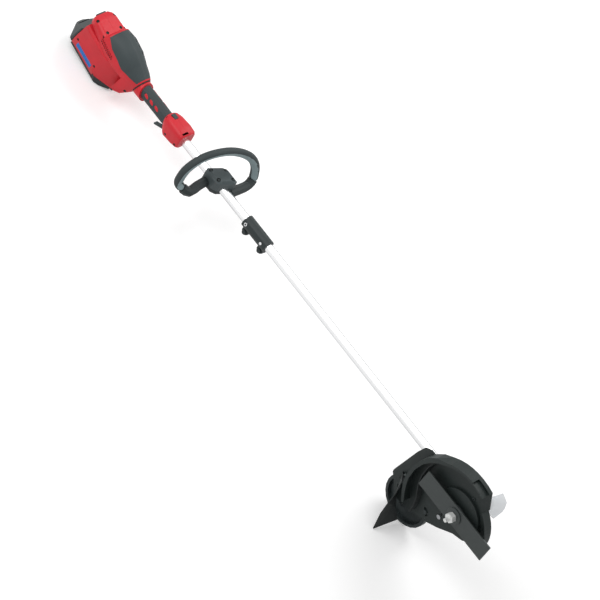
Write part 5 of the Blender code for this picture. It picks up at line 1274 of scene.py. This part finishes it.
@dataclass
class DepthWheel:
    """The depth wheel on its arm, with the lock knob and pivot bolt."""

    def build(self) -> list[Object]:
        """Builds the wheel."""
        return dress_all(("depth_wheel", Finish.BLACK, 0.0008), ("wheel_axle", Finish.BRIGHT, 0.0003),
                         ("wheel_arm", Finish.BLACK, 0.0006), ("arm_lock_knob", Finish.BLACK, 0.0005),
                         ("arm_pivot_bolt", Finish.STEEL, 0.0003))


@dataclass
class Works:
    """The parts inside, which keep their CAD shape."""

    def build(self) -> list[Object]:
        """Gives each part that still shows its CAD shape the finish of its slot.

        Returns:
            The parts.
        """
        finishes = {finish.value.slot: finish for finish in reversed(Finish)}
        parts = [node for node in frame["nodes"].values() if not node.hide_render]
        for part in parts:
            for slot in part.material_slots:
                finish = finishes[slot.material.name.split(".")[0]]
                slot.link = "OBJECT"
                slot.material = made(finish)
        return parts


@dataclass
class Studio:
    """Pale floor, soft lamps and the camera of the photograph."""

    camera_at: Point = (3.09281, -8.42904, 10.92575)
    camera_right: Point = (0.55444, 0.72446, 0.40958)
    camera_up: Point = (-0.80345, 0.33768, 0.49034)
    camera_back: Point = (0.21692, -0.60094, 0.76929)
    lens: float = 367.5
    film_width: float = 36.0
    sight: float = 100.0
    floor_size: float = 60.0
    floor_drop: float = 0.0005
    floor_lift: float = 0.22
    ambient: float = 0.50
    key_power: float = 66.0
    lit_point: Point = (0.0, 0.0, 0.1)
    lamps: list[tuple[str, Point, float, float]] = field(default_factory=lambda: [
        ("Key", (-1.6, -1.4, 3.2), 2.6, 1.0), ("Sheen", (-0.5, 1.9, 2.5), 1.8, 0.50)])

    def build(self) -> None:
        """Builds the floor, the lamps, the world and the camera."""
        self.lay_floor()
        self.hang_lamps()
        self.fill_world()
        self.stand_camera()

    def lay_floor(self) -> None:
        """Lays the floor, which stays white to the camera and keeps the shadow."""
        leave_all()
        bpy.ops.mesh.primitive_plane_add(size=self.floor_size)
        floor = settle(active(), Matrix.Translation((0, 0, -self.floor_drop)))
        floor.name = "floor"
        material, wiring, shader = bare_material("Pale floor")
        cloud = wiring.noise(wiring.coordinates(), scale=3.0, detail=2.0)
        seen = wiring.add("LightPath").outputs["Is Camera Ray"]
        wiring.fill(shader, {"Base Color": wiring.mix(cloud, (0.90, 0.90, 0.90), (0.92, 0.92, 0.92)),
                             "Roughness": 0.9, "Specular IOR Level": 0.1,
                             "Emission Color": (1.0, 1.0, 1.0, 1.0),
                             "Emission Strength": wiring.work("MULTIPLY", seen, self.floor_lift)})
        floor.data.materials.append(material)

    def hang_lamps(self) -> None:
        """Hangs the lamps, each turned to the tool."""
        for name, at, size, share in self.lamps:
            bpy.ops.object.light_add(type="AREA", location=at)
            lamp = active()
            lamp.name = name
            lamp.data.size = size
            lamp.data.energy = self.key_power * share
            lamp.rotation_euler = (Vector(self.lit_point) - Vector(at)).to_track_quat("-Z", "Y").to_euler()

    def fill_world(self) -> None:
        """Fills the world with plain white, at full strength where it is seen or reflected."""
        world = bpy.data.worlds.new("Studio")
        bpy.context.scene.world = world
        world.use_nodes = True
        wiring = Wiring(world.node_tree)
        path = wiring.add("LightPath").outputs
        total = path["Is Camera Ray"]
        for label in ("Is Glossy Ray", "Is Transmission Ray"):
            total = wiring.work("ADD", total, path[label], clamp=True)
        wiring.fill(world.node_tree.nodes["Background"],
                    {"Color": (1.0, 1.0, 1.0, 1.0), "Strength": wiring.spread(total, (self.ambient, 1.0))})

    def stand_camera(self) -> None:
        """Stands the camera where the photograph was taken from."""
        bpy.ops.object.camera_add()
        camera = active()
        axes = Matrix((self.camera_right, self.camera_up, self.camera_back)).transposed().to_4x4()
        camera.matrix_world = Matrix.Translation(self.camera_at) @ axes
        camera.data.lens = self.lens
        camera.data.sensor_width = self.film_width
        camera.data.clip_end = self.sight
        bpy.context.scene.camera = camera


def main() -> None:
    """Builds the tool, one sub-assembly after another, and the studio round it."""
    logging.basicConfig(level=logging.INFO, format="%(message)s")
    bpy.context.scene.view_settings.view_transform = "Standard"
    for maker in (Shaft(), PowerHead(), Battery(), Grip(), TriggerHousing(), LoopHandle(), Gearbox(),
                  Cutter(), Guard(), DepthWheel(), Works()):
        for piece in maker.build():
            log.info("%s: %s, %d faces", type(maker).__name__, piece.name, len(piece.data.polygons))
    Studio().build()


if __name__ == "__main__":
    main()
